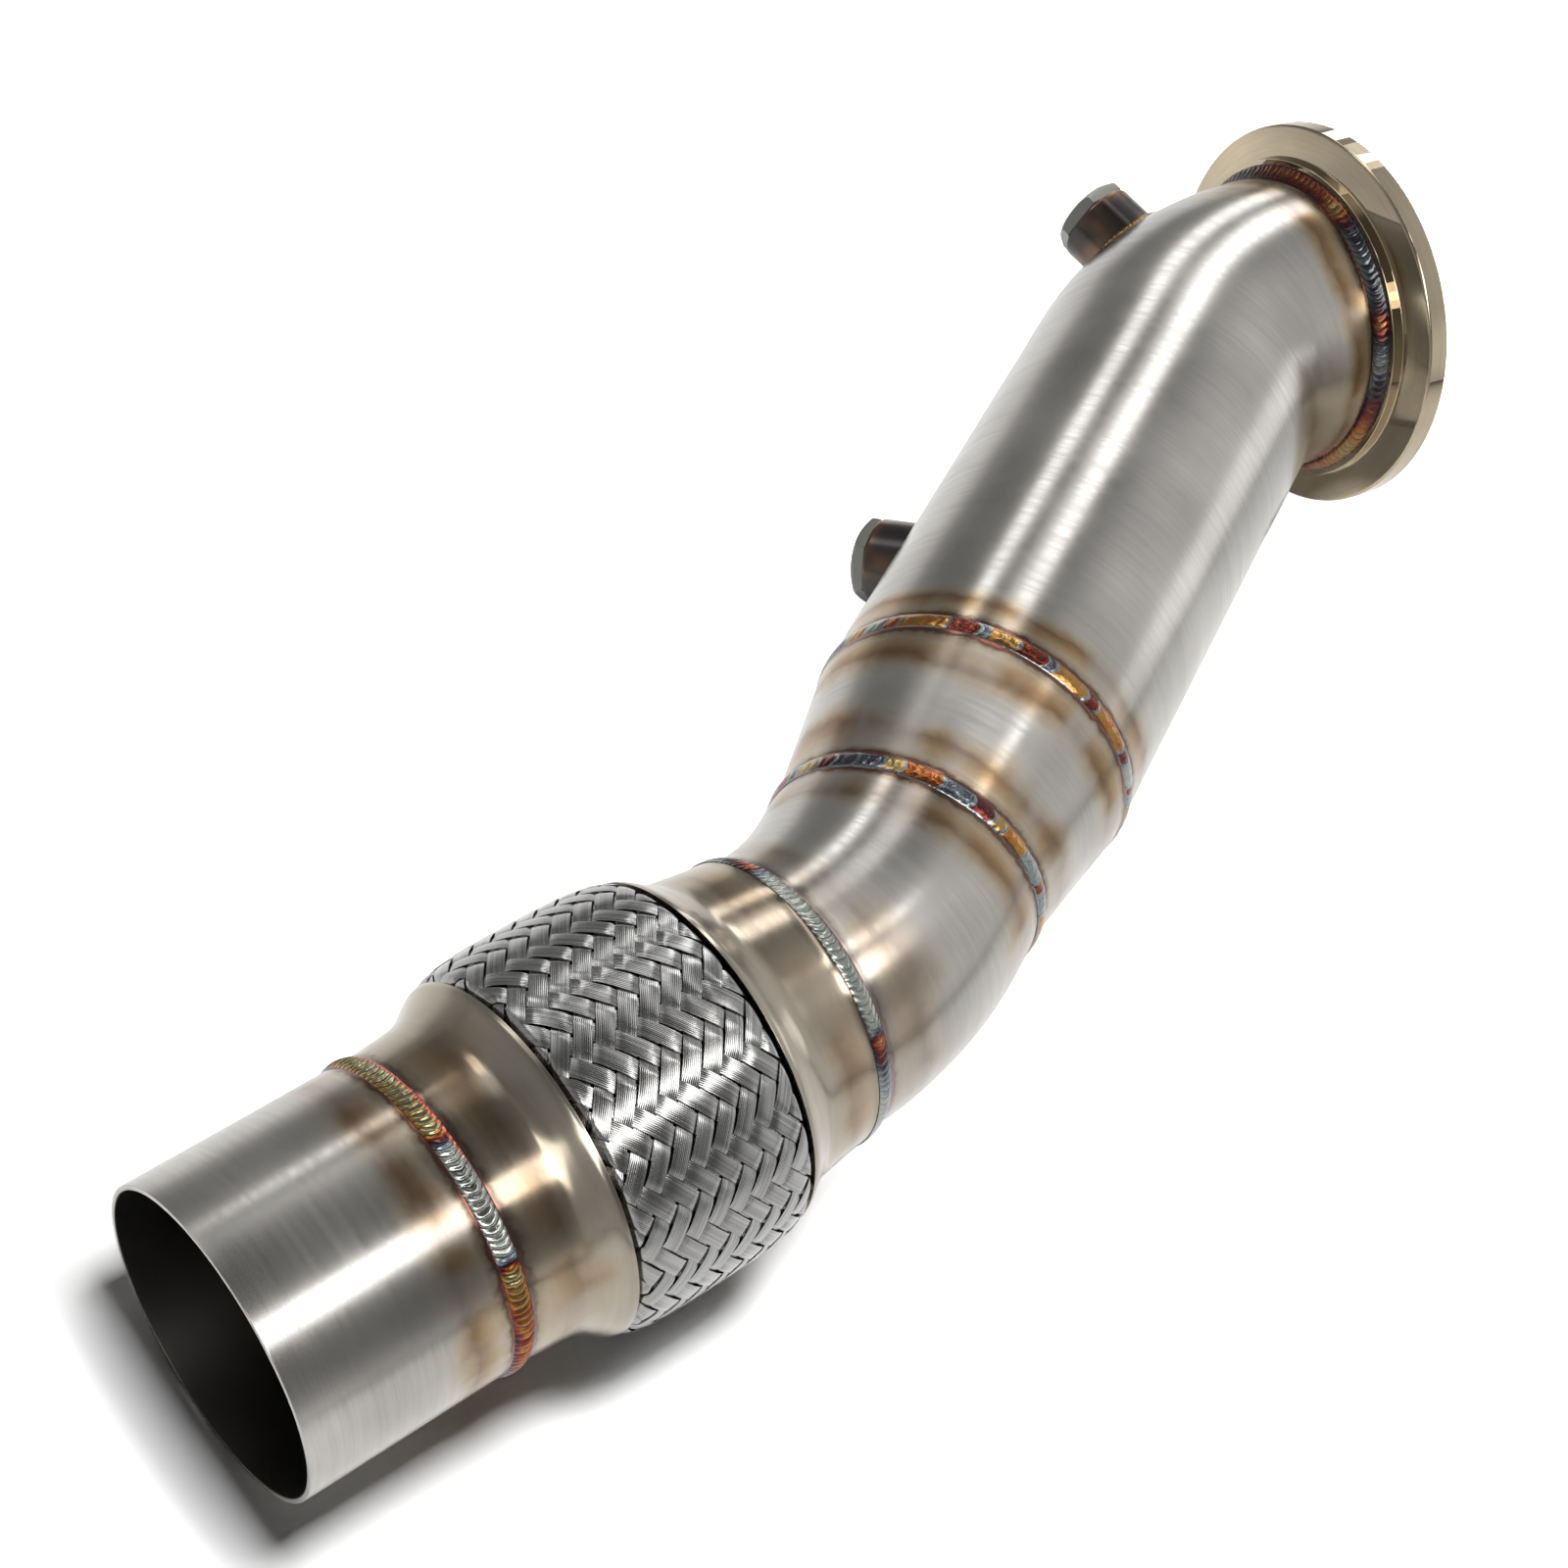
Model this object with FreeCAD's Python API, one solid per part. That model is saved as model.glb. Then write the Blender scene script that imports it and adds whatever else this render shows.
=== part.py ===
import FreeCAD
import Part

import math
import os

# A stainless turbo downpipe, lying as it comes to rest: on the edge of its
# outlet, on the braid of its flex section and on the rim of its V-band flange.
# The pipe is built along its own centre line, from the outlet to the flange.
# Each piece is drawn about the local Z axis of a station on that line.
# All lengths are in millimetres and all angles in degrees.

Vector = FreeCAD.Vector
Placement = FreeCAD.Placement
Rotation = FreeCAD.Rotation

# Tubes
elbow_diameter = 76.2
main_diameter = 88.9
tube_wall = 1.5
outlet_slip_clearance = 1.0
outlet_length = 57.4
elbow_lower_straight = 3.6
elbow_bend_radius = 88.9
elbow_bend_angle = 26.5
elbow_upper_straight = 11.8
reducer_length = 46.9
reducer_land = 3.0
main_straight = 158.9
main_bend_radius = 88.9
main_bend_angle = 35.9
main_bend_clock = -170.0

# Weld beads
weld_root_gap = 1.2
weld_width = 5.6
weld_height = 0.9
slip_weld_leg = 4.2
flange_weld_leg = 3.9

# Flex section
flex_neck_length = 17.5
flex_flare_length = 10.0
flex_braid_length = 52.1
flex_neck_rise = 1.9
flex_neck_land = 3.6
flex_flare_rise = 5.45
collar_wall = 1.6
braid_bulge = 2.7
braid_end_drop = 2.4
braid_wall = 1.3
braid_ridge = 0.5
braid_tuck = 3.2
braid_columns = 18
braid_gap_rows = 6
braid_gap_share = 0.3
braid_end_margin = 1.0
braid_clearance = 0.15
bellows_wall = 0.5
bellows_clearance = 1.3
bellows_convolutions = 7
liner_wall = 0.8
liner_lap_depth = 0.45
liner_laps = 6
slip_clearance = 0.25
slip_depth = 2.8

# V-band flange
flange_rim_width = 6.6
flange_rim_height = 9.3
flange_taper_width = 2.6
flange_hub_wall = 4.8
flange_hub_length = 3.7
flange_offset = 4.0
flange_socket_depth = 5.3
flange_seat_step = 5.55
flange_seat_depth = 1.6
flange_edge = 0.5
socket_clearance = 0.15

# Sensor bungs and their plugs
bung_diameter = 25.4
bung_height = 12.2
bung_thread_diameter = 18.0
bung_edge = 0.8
thread_clearance = 0.1
bung_weld_width = 2.4
bung_weld_height = 1.8
plug_across_flats = 22.0
plug_head_height = 4.4
plug_head_edge = 1.1
plug_shank_gap = 1.2
lower_bung_place = 68.6
lower_bung_clock = 150.5
upper_bung_bend_angle = 21.5

# Sizes that follow from the ones above
elbow_radius = elbow_diameter / 2
main_radius = main_diameter / 2
outlet_radius = elbow_radius + outlet_slip_clearance + tube_wall
neck_bore = elbow_radius + slip_clearance
neck_radius = neck_bore + collar_wall
shoulder_radius = neck_radius + flex_neck_rise
collar_length = flex_neck_length + flex_flare_length
rim_radius = shoulder_radius + flex_flare_rise
braid_radius = rim_radius + braid_bulge
braid_under_rim = rim_radius - collar_wall - braid_clearance
cuff_radius = neck_bore - slip_clearance
cuff_start = slip_depth + slip_clearance
crest_radius = braid_under_rim - braid_wall - braid_ridge - bellows_clearance
socket_radius = main_radius + socket_clearance
groove_margin = weld_root_gap / 8
hub_radius = socket_radius + flange_hub_wall
flange_radius = hub_radius + flange_rim_height
flange_bore = main_radius - tube_wall
seat_radius = flange_bore + flange_seat_step
stub_length = flange_offset + flange_socket_depth - socket_clearance
flange_taper_start = flange_offset + flange_hub_length
flange_rim_start = flange_taper_start + flange_taper_width
flange_face = flange_rim_start + flange_rim_width
bung_radius = bung_diameter / 2
thread_radius = bung_thread_diameter / 2


# Stations along the centre line

def along(station, distance):
    return station.multiply(Placement(Vector(0, 0, distance), Rotation()))


def clocked(station, angle):
    return station.multiply(Placement(Vector(), Rotation(Vector(0, 0, 1), angle)))


def past_bend(station, bend_radius, angle):
    """The far end of a bend whose centre lies on the station's local X axis."""
    centre = Vector(bend_radius, 0, 0)
    return station.multiply(Placement(Vector(), Rotation(Vector(0, 1, 0), angle), centre))


def radial(station, clock):
    """A station on the same centre, whose Z axis points out through the wall."""
    outward = Placement(Vector(), Rotation(Vector(0, 1, 0), 90))
    return clocked(station, clock).multiply(outward)


# Basic forms

def turned(outline):
    """A solid turned about the Z axis from (radius, height) points."""
    points = [Vector(radius, 0, height) for radius, height in outline]
    wire = Part.makePolygon(points + points[:1])
    return Part.Face(wire).revolve(Vector(), Vector(0, 0, 1), 360)


def rod(radius, bottom, top):
    return Part.makeCylinder(radius, top - bottom, Vector(0, 0, bottom))


def smooth_turned(outer, inner):
    """A thin turned wall whose two faces are smooth curves through points."""
    faces = []
    for outline in (outer, inner):
        curve = Part.BSplineCurve()
        curve.interpolate([Vector(radius, 0, height) for radius, height in outline])
        faces.append(curve.toShape())
    ends = []
    for end in (0, -1):
        first = Vector(outer[end][0], 0, outer[end][1])
        second = Vector(inner[end][0], 0, inner[end][1])
        ends.append(Part.makeLine(first, second))
    wire = Part.Wire(Part.__sortEdges__(faces + ends))
    return Part.Face(wire).revolve(Vector(), Vector(0, 0, 1), 360)


def pipe(radius, wall, bottom, top):
    return rod(radius, bottom, top).cut(rod(radius - wall, bottom, top))


def bent_rod(radius, bend_radius, angle):
    circle = Part.Wire(Part.makeCircle(radius))
    disc = Part.Face(circle)
    return disc.revolve(Vector(bend_radius, 0, 0), Vector(0, 1, 0), angle)


def placed(shape, station):
    copy = shape.copy()
    copy.Placement = station.multiply(copy.Placement)
    return copy


def joined(shapes):
    return shapes[0].multiFuse(shapes[1:]).removeSplitter()


def bent_pipe_core(radius, before, bend_radius, angle, after):
    """A solid bar with a straight run, a bend and a second straight run."""
    bend_start = along(Placement(), before)
    bend_end = past_bend(bend_start, bend_radius, angle)
    pieces = [
        placed(bent_rod(radius, bend_radius, angle), bend_start),
        placed(rod(radius, 0, after), bend_end),
    ]
    if before > 0:
        pieces.append(rod(radius, 0, before))
    return joined(pieces)


def butt_weld_bead(tube_radius):
    """A rounded bead, wide outside and narrow at its root inside the tube."""
    bore = tube_radius - tube_wall
    toe = Vector(tube_radius, 0, -weld_width / 2)
    crown = Vector(tube_radius + weld_height, 0, 0)
    far_toe = Vector(tube_radius, 0, weld_width / 2)
    cap = Part.Arc(toe, crown, far_toe).toShape()
    root = Part.makePolygon([
        far_toe,
        Vector(bore, 0, weld_root_gap / 2),
        Vector(bore, 0, -weld_root_gap / 2),
        toe,
    ])
    wire = Part.Wire([cap] + root.Edges)
    return Part.Face(wire).revolve(Vector(), Vector(0, 0, 1), 360)


def weld_groove(tube_radius):
    """What the bead takes from the ends of the tubes that it joins."""
    slope = (weld_width - weld_root_gap) / 2 / tube_wall
    outside = tube_radius + groove_margin
    inside = tube_radius - tube_wall - groove_margin
    half_outside = weld_width / 2 + slope * groove_margin
    half_inside = weld_root_gap / 2 - slope * groove_margin
    return turned([
        (inside, -half_inside),
        (outside, -half_outside),
        (outside, half_outside),
        (inside, half_inside),
    ])


# Pieces of the flex section, drawn from the free end of a collar's neck

def collar_curve(inset):
    """The collar's shoulder and flare, set in from its outer face."""
    lip = collar_length
    neck_end = flex_neck_length
    return [
        (shoulder_radius - 0.45 - inset, neck_end - 3.5),
        (shoulder_radius + 0.1 - inset, neck_end - inset * 0.1),
        (shoulder_radius + flex_flare_rise * 0.17 - inset, neck_end + 2.2 + inset * 0.2),
        (shoulder_radius + flex_flare_rise * 0.5 - inset, neck_end + 5.2 + inset * 0.35),
        (rim_radius - flex_flare_rise * 0.1 - inset, lip - 1.6 + inset * 0.3),
        (rim_radius - inset, lip),
    ]


def flex_collar(end_radius):
    """An end collar: a slightly tapered neck that flares out over the braid."""
    land = rod(end_radius, 0, flex_neck_land).cut(rod(neck_bore, 0, flex_neck_land))
    outer = [(end_radius, flex_neck_land)] + collar_curve(0)
    inner = [(neck_bore, flex_neck_land)] + collar_curve(collar_wall)
    return joined([land, smooth_turned(outer, inner)])


def barrel_radius(place):
    """Outer radius of the braid at a place between the two collar rims."""
    across = 2 * place / flex_braid_length - 1
    return braid_radius - braid_end_drop * across ** 4


def ring_point(radius, turn, height):
    """A point at a turn counted in braid columns."""
    angle = 2 * math.pi * turn / braid_columns
    return Vector(radius * math.cos(angle), radius * math.sin(angle), height)


def braid_lattice():
    """Where the ribbons cross: rows of heights, each a half column on."""
    rows = braid_gap_rows + 1
    pitch = (flex_braid_length - 2 * braid_end_margin) / rows
    return [braid_end_margin + pitch * row for row in range(rows + 1)]


def triangles(points):
    """Facets that fan out from the first of the points."""
    facets = []
    for second, third in zip(points[1:-1], points[2:]):
        facets.append(Part.Face(Part.makePolygon([points[0], second, third, points[0]])))
    return facets


def braid_cell(rows, row, turn):
    """One diamond of the weave: four ridged flanks that fall to a gap."""
    corners = [(turn, row - 1), (turn + 0.5, row), (turn, row + 1), (turn - 0.5, row)]
    facets = []
    outer_rim = []
    inner_rim = []
    outer_gap = []
    inner_gap = []
    for corner_turn, corner_row in corners:
        height = rows[corner_row]
        radius = barrel_radius(height)
        gap_turn = turn + (corner_turn - turn) * braid_gap_share
        gap_height = rows[row] + (height - rows[row]) * braid_gap_share
        gap_radius = barrel_radius(gap_height) - braid_ridge
        inner_radius = radius - braid_wall - braid_ridge
        outer_rim.append(ring_point(radius, corner_turn, height))
        inner_rim.append(ring_point(inner_radius, corner_turn, height))
        outer_gap.append(ring_point(gap_radius, gap_turn, gap_height))
        inner_gap.append(ring_point(gap_radius - braid_wall, gap_turn, gap_height))
    for side in range(4):
        after = (side + 1) % 4
        facets += triangles([outer_rim[side], outer_rim[after], outer_gap[after], outer_gap[side]])
        facets += triangles([inner_rim[side], inner_rim[after], inner_gap[after], inner_gap[side]])
        facets += triangles([outer_gap[side], outer_gap[after], inner_gap[after], inner_gap[side]])
    return facets


def braid_edge(rows, row, inward):
    """The half diamonds and the plain hem along one end of the braid."""
    height = rows[row]
    radius = barrel_radius(height)
    inner_radius = radius - braid_wall - braid_ridge
    next_height = rows[row + inward]
    next_radius = barrel_radius(next_height)
    next_inner = next_radius - braid_wall - braid_ridge
    rim_height = height - inward * braid_end_margin
    hem_height = rim_height - inward * braid_tuck
    tucked = braid_under_rim - braid_tuck * flex_flare_rise / flex_flare_length - braid_clearance
    facets = []
    shift = 0.5 * (row % 2)
    for column in range(braid_columns):
        left = column + shift
        right = left + 1
        peak = left + 0.5
        facets += triangles([
            ring_point(radius, left, height),
            ring_point(radius, right, height),
            ring_point(next_radius, peak, next_height),
        ])
        facets += triangles([
            ring_point(inner_radius, left, height),
            ring_point(inner_radius, right, height),
            ring_point(next_inner, peak, next_height),
        ])
        profile = [
            (radius, height),
            (braid_under_rim, rim_height),
            (tucked, hem_height),
            (tucked - braid_wall, hem_height),
            (braid_under_rim - braid_wall, rim_height),
            (inner_radius, height),
        ]
        for (radius_a, height_a), (radius_b, height_b) in zip(profile[:-1], profile[1:]):
            facets += triangles([
                ring_point(radius_a, left, height_a),
                ring_point(radius_a, right, height_a),
                ring_point(radius_b, right, height_b),
                ring_point(radius_b, left, height_b),
            ])
    return facets


def flex_braid():
    """The woven cover, drawn from the rim of the lower collar."""
    rows = braid_lattice()
    last = len(rows) - 1
    facets = braid_edge(rows, 0, 1) + braid_edge(rows, last, -1)
    for row in range(1, last):
        shift = 0.5 * ((row + 1) % 2)
        for column in range(braid_columns):
            facets += braid_cell(rows, row, column + shift)
    shell = Part.makeShell(facets)
    shell.sewShape()
    return Part.makeSolid(shell)


def flex_bellows():
    """Corrugated tube inside the braid, with a plain cuff in each neck."""
    length = 2 * collar_length + flex_braid_length
    first = collar_length - 2.0
    pitch = (length - 2 * first) / bellows_convolutions
    cuff_bore = cuff_radius - bellows_wall
    outer = [(cuff_radius, cuff_start), (cuff_radius, first)]
    inner = [(cuff_bore, cuff_start), (cuff_bore, first)]
    for fold in range(bellows_convolutions):
        root = first + pitch * fold
        for share in (0.36, 0.64):
            outer.append((crest_radius, root + pitch * share))
            inner.append((crest_radius - bellows_wall, root + pitch * share))
        for share in (0.92, 1.0):
            outer.append((cuff_radius, root + pitch * share))
            inner.append((cuff_bore, root + pitch * share))
    outer.append((cuff_radius, length - cuff_start))
    inner.append((cuff_bore, length - cuff_start))
    return turned(outer + inner[::-1])


def flex_liner():
    """Lapped inner hose, with the steps of its laps facing down the flow."""
    length = 2 * collar_length + flex_braid_length
    outside = cuff_radius - bellows_wall - slip_clearance
    inside = outside - liner_wall
    pitch = (length - 2 * cuff_start) / liner_laps
    outline = [(outside, cuff_start), (outside, length - cuff_start)]
    for lap in range(liner_laps):
        top = length - cuff_start - lap * pitch
        outline.append((inside, top))
        outline.append((inside + liner_lap_depth, top - pitch))
    return turned(outline)


# The other pieces

def outlet_tube():
    tube = pipe(outlet_radius, tube_wall, 0, outlet_length)
    return tube.cut(placed(weld_groove(outlet_radius), along(Placement(), outlet_length)))


def slip_weld():
    """The fillet on the elbow where it enters the upper collar's neck."""
    toe = Vector(elbow_radius, 0, slip_weld_leg)
    crown = Vector(neck_radius + weld_height * 0.6, 0, slip_weld_leg * 0.3)
    collar_toe = Vector(neck_radius, 0, -weld_height * 1.5)
    cap = Part.Arc(collar_toe, crown, toe).toShape()
    back = Part.makePolygon([
        toe,
        Vector(elbow_radius, 0, 0),
        Vector(neck_radius, 0, 0),
        collar_toe,
    ])
    wire = Part.Wire([cap] + back.Edges)
    return Part.Face(wire).revolve(Vector(), Vector(0, 0, 1), 360)


def lower_elbow():
    """The small elbow, from inside the collar's neck to the reducer's weld."""
    before = slip_depth + elbow_lower_straight
    after = elbow_upper_straight
    outer = bent_pipe_core(elbow_radius, before, elbow_bend_radius, elbow_bend_angle, after)
    inner = bent_pipe_core(elbow_radius - tube_wall, before, elbow_bend_radius, elbow_bend_angle, after)
    bend_end = past_bend(along(Placement(), before), elbow_bend_radius, elbow_bend_angle)
    groove = placed(weld_groove(elbow_radius), along(bend_end, after))
    return outer.cut(inner).cut(groove)


def reducer_cone():
    outline = [
        (elbow_radius, 0),
        (elbow_radius, reducer_land),
        (main_radius, reducer_length - reducer_land),
        (main_radius, reducer_length),
        (main_radius - tube_wall, reducer_length),
        (main_radius - tube_wall, reducer_length - reducer_land),
        (elbow_radius - tube_wall, reducer_land),
        (elbow_radius - tube_wall, 0),
    ]
    upper_groove = placed(weld_groove(main_radius), along(Placement(), reducer_length))
    return turned(outline).cut(weld_groove(elbow_radius)).cut(upper_groove)


def main_tube_core(radius):
    return bent_pipe_core(radius, main_straight, main_bend_radius, main_bend_angle, stub_length)


def bung_stations():
    """Both bungs in the frame of the main tube: Z points out of the tube."""
    lower = radial(along(Placement(), lower_bung_place), lower_bung_clock)
    bend_start = along(Placement(), main_straight)
    upper = radial(past_bend(bend_start, main_bend_radius, upper_bung_bend_angle), 180)
    return {"lower": lower, "upper": upper}


def main_tube():
    tube = main_tube_core(main_radius).cut(main_tube_core(main_radius - tube_wall))
    tube = tube.cut(weld_groove(main_radius))
    for station in bung_stations().values():
        gas_hole = rod(thread_radius + thread_clearance, 0, main_radius + bung_height)
        tube = tube.cut(placed(gas_hole, station))
    return tube


def sensor_bung(station, tube_core):
    """A threaded boss whose foot is shaped to the outside of the tube."""
    top = main_radius + bung_height
    foot = main_radius - bung_height
    outline = [
        (thread_radius + thread_clearance, foot),
        (bung_radius, foot),
        (bung_radius, top - bung_edge),
        (bung_radius - bung_edge, top),
        (thread_radius + thread_clearance, top),
    ]
    return placed(turned(outline), station).cut(tube_core)


def bung_weld(station, tube_core, weld_core):
    """The bead around a bung's foot, which follows the saddle of the tube."""
    foot = main_radius - bung_height
    top = main_radius + bung_weld_height
    ring = rod(bung_radius + bung_weld_width, foot, top).cut(rod(bung_radius, foot, top))
    return placed(ring, station).common(weld_core).cut(tube_core)


def sensor_plug():
    """A hexagon plug, drawn along a bung's axis from the centre of the tube."""
    seat = main_radius + bung_height
    top = seat + plug_head_height
    corner = plug_across_flats / 2 / math.cos(math.radians(30))
    points = []
    for side in range(6):
        angle = math.radians(60 * side)
        points.append(Vector(corner * math.cos(angle), corner * math.sin(angle), seat))
    hexagon = Part.Face(Part.makePolygon(points + points[:1]))
    head = hexagon.extrude(Vector(0, 0, plug_head_height))
    bevel = turned([
        (0, seat),
        (corner, seat),
        (corner, top - plug_head_edge),
        (corner - plug_head_edge * 1.7, top),
        (0, top),
    ])
    shank = rod(thread_radius, main_radius + plug_shank_gap, seat)
    return joined([head.common(bevel), shank])


def flange_weld():
    """The bead in the corner between the main tube and the flange's hub."""
    foot = flange_offset - flange_weld_leg
    rise = flange_weld_leg * 0.85
    outline = [
        (main_radius, foot),
        (main_radius + rise * 0.55, foot + flange_weld_leg * 0.25),
        (main_radius + rise, foot + flange_weld_leg * 0.7),
        (main_radius + rise, flange_offset),
        (main_radius, flange_offset),
    ]
    return turned(outline)


def v_band_flange():
    """Socket, hub, tapered shoulder, rim and a recessed seat in the face."""
    shoulder = flange_offset + flange_socket_depth
    outline = [
        (socket_radius, flange_offset),
        (hub_radius - flange_edge, flange_offset),
        (hub_radius, flange_offset + flange_edge),
        (hub_radius, flange_taper_start),
        (flange_radius - flange_edge, flange_rim_start - flange_edge),
        (flange_radius, flange_rim_start),
        (flange_radius, flange_face - flange_edge),
        (flange_radius - flange_edge, flange_face),
        (seat_radius, flange_face),
        (seat_radius, flange_face - flange_seat_depth),
        (flange_bore, flange_face - flange_seat_depth),
        (flange_bore, shoulder),
        (socket_radius, shoulder),
    ]
    return turned(outline)


def stations():
    """The start of each piece on the centre line, from the outlet on."""
    place = {"outlet": Placement()}
    place["outlet_weld"] = along(place["outlet"], outlet_length)
    place["lower_rim"] = along(place["outlet_weld"], collar_length)
    place["upper_rim"] = along(place["lower_rim"], flex_braid_length)
    place["slip_weld"] = along(place["upper_rim"], collar_length)
    bend = along(place["slip_weld"], elbow_lower_straight)
    bend_end = past_bend(bend, elbow_bend_radius, elbow_bend_angle)
    place["lower_reducer_weld"] = along(bend_end, elbow_upper_straight)
    place["upper_reducer_weld"] = along(place["lower_reducer_weld"], reducer_length)
    place["main"] = clocked(place["upper_reducer_weld"], main_bend_clock)
    main_bend = along(place["main"], main_straight)
    place["flange"] = past_bend(main_bend, main_bend_radius, main_bend_angle)
    return place


def build_pieces(place):
    """Every piece by its name, in the frame of the outlet."""
    pieces = {}
    turned_back = Rotation(Vector(1, 0, 0), 180)
    main = place["main"]
    flex_start = place["outlet_weld"]
    lower_collar = flex_collar(outlet_radius).cut(rod(neck_radius, 0, weld_root_gap / 2))
    lower_collar = lower_collar.cut(weld_groove(outlet_radius))
    upper_collar_station = place["slip_weld"].multiply(Placement(Vector(), turned_back))

    pieces["outlet_tube"] = placed(outlet_tube(), place["outlet"])
    pieces["outlet_weld"] = placed(butt_weld_bead(outlet_radius), flex_start)
    pieces["flex_lower_collar"] = placed(lower_collar, flex_start)
    pieces["flex_braid"] = placed(flex_braid(), place["lower_rim"])
    pieces["flex_bellows"] = placed(flex_bellows(), flex_start)
    pieces["flex_liner"] = placed(flex_liner(), flex_start)
    pieces["flex_upper_collar"] = placed(flex_collar(neck_radius), upper_collar_station)
    pieces["elbow_slip_weld"] = placed(slip_weld(), place["slip_weld"])
    pieces["lower_elbow"] = placed(lower_elbow(), along(place["slip_weld"], -slip_depth))
    pieces["reducer_lower_weld"] = placed(
        butt_weld_bead(elbow_radius), place["lower_reducer_weld"]
    )
    pieces["reducer_cone"] = placed(reducer_cone(), place["lower_reducer_weld"])
    pieces["reducer_upper_weld"] = placed(
        butt_weld_bead(main_radius), place["upper_reducer_weld"]
    )
    pieces["main_tube"] = placed(main_tube(), main)

    tube_core = main_tube_core(main_radius)
    weld_core = main_tube_core(main_radius + bung_weld_height)
    for name, station in bung_stations().items():
        bead = bung_weld(station, tube_core, weld_core)
        pieces[name + "_sensor_bung"] = placed(sensor_bung(station, tube_core), main)
        pieces[name + "_bung_weld"] = placed(bead, main)
        pieces[name + "_sensor_plug"] = placed(sensor_plug(), main.multiply(station))

    pieces["flange_weld"] = placed(flange_weld(), place["flange"])
    pieces["v_band_flange"] = placed(v_band_flange(), place["flange"])
    return pieces


# How it lies on the floor

def lowest_point(circles, down):
    """The point that lies furthest down on any of the circles."""
    points = []
    for station, radius in circles:
        axis = station.Rotation.multVec(Vector(0, 0, 1))
        outward = (down - axis * axis.dot(down)).normalize()
        points.append(station.Base + outward * radius)
    return max(points, key=lambda point: point.dot(down))


def resting_placement(place):
    """Turns the pipe so that its three lowest rims touch the floor."""
    braid_circles = []
    for height in braid_lattice():
        braid_circles.append((along(place["lower_rim"], height), barrel_radius(height)))
    flange_circles = [
        (along(place["flange"], flange_rim_start), flange_radius),
        (along(place["flange"], flange_face - flange_edge), flange_radius),
    ]
    rests = [[(place["outlet"], outlet_radius)], braid_circles, flange_circles]
    down = Vector(0, -1, 0)
    for _ in range(60):
        first, second, third = [lowest_point(circles, down) for circles in rests]
        normal = (second - first).cross(third - first).normalize()
        if normal.dot(down) < 0:
            normal = normal * -1
        down = (down + normal).normalize()
    up = down * -1
    run = place["main"].Rotation.multVec(Vector(0, 0, 1))
    ahead = (run - up * run.dot(up)).normalize()
    turn = Rotation(ahead, up.cross(ahead), up, "XYZ").inverted()
    floor = turn.multVec(first).z
    return Placement(Vector(0, 0, -floor), turn)


def footprint_centre(pieces):
    """The middle of the piece's outline, seen from above."""
    box = FreeCAD.BoundBox()
    for piece in pieces.values():
        box.add(piece.optimalBoundingBox(False))
    return Vector(box.Center.x, box.Center.y, 0)


def main():
    place = stations()
    rest = resting_placement(place)
    pieces = build_pieces(place)
    for name in pieces:
        pieces[name] = placed(pieces[name], rest)
    centre = footprint_centre(pieces)
    to_origin = Placement(centre * -1, Rotation())
    os.makedirs("parts", exist_ok=True)
    for name, piece in pieces.items():
        placed(piece, to_origin).exportStep("parts/" + name + ".step")
        print(name, "solids", len(piece.Solids), "volume", round(piece.Volume), "valid", piece.isValid())


main()
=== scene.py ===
import math

import bmesh
import bpy
from mathutils import Euler, Matrix, Vector
from mathutils.kdtree import KDTree


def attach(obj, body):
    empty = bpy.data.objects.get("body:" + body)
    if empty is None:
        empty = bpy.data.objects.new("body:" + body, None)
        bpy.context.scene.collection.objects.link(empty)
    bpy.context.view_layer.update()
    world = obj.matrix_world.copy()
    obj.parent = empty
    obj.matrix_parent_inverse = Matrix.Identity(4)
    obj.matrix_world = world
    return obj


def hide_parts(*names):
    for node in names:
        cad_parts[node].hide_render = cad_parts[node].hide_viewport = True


# A stainless turbo downpipe on a white floor. Its visible skin is swept along
# the pipe's centre line, which runs from the outlet to the V-band flange.
# Sizes are in millimetres and angles in degrees until a mesh is made.

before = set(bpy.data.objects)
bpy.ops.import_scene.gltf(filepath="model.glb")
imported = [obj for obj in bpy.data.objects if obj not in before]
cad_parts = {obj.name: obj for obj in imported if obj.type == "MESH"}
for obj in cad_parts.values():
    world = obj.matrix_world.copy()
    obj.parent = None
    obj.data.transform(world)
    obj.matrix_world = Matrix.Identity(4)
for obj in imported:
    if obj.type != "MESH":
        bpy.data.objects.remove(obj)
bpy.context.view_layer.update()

MM = 0.001
SIDES = 192
MM_IN_METRE = (1000, 1000, 1000)

# The outlet's station: its centre and its turns about X, Y and Z
OUTLET_CENTRE = (-244.79553, 59.91969, 40.41698)
OUTLET_TURNS = (84.4505, 11.26289, 62.96665)

# Lengths and bends, in order along the centre line
OUTLET_LENGTH = 57.4
COLLAR_LENGTH = 27.5
BRAID_LENGTH = 52.1
SLIP_DEPTH = 2.8
ELBOW_START_LENGTH = 3.6
ELBOW_ANGLE = 26.5
ELBOW_END_LENGTH = 11.8
REDUCER_LENGTH = 46.9
MAIN_LENGTH = 158.9
MAIN_ANGLE = 35.9
MAIN_BEND_CLOCK = -170.0
STUB_LENGTH = 9.15
BEND_RADIUS = 88.9

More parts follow.
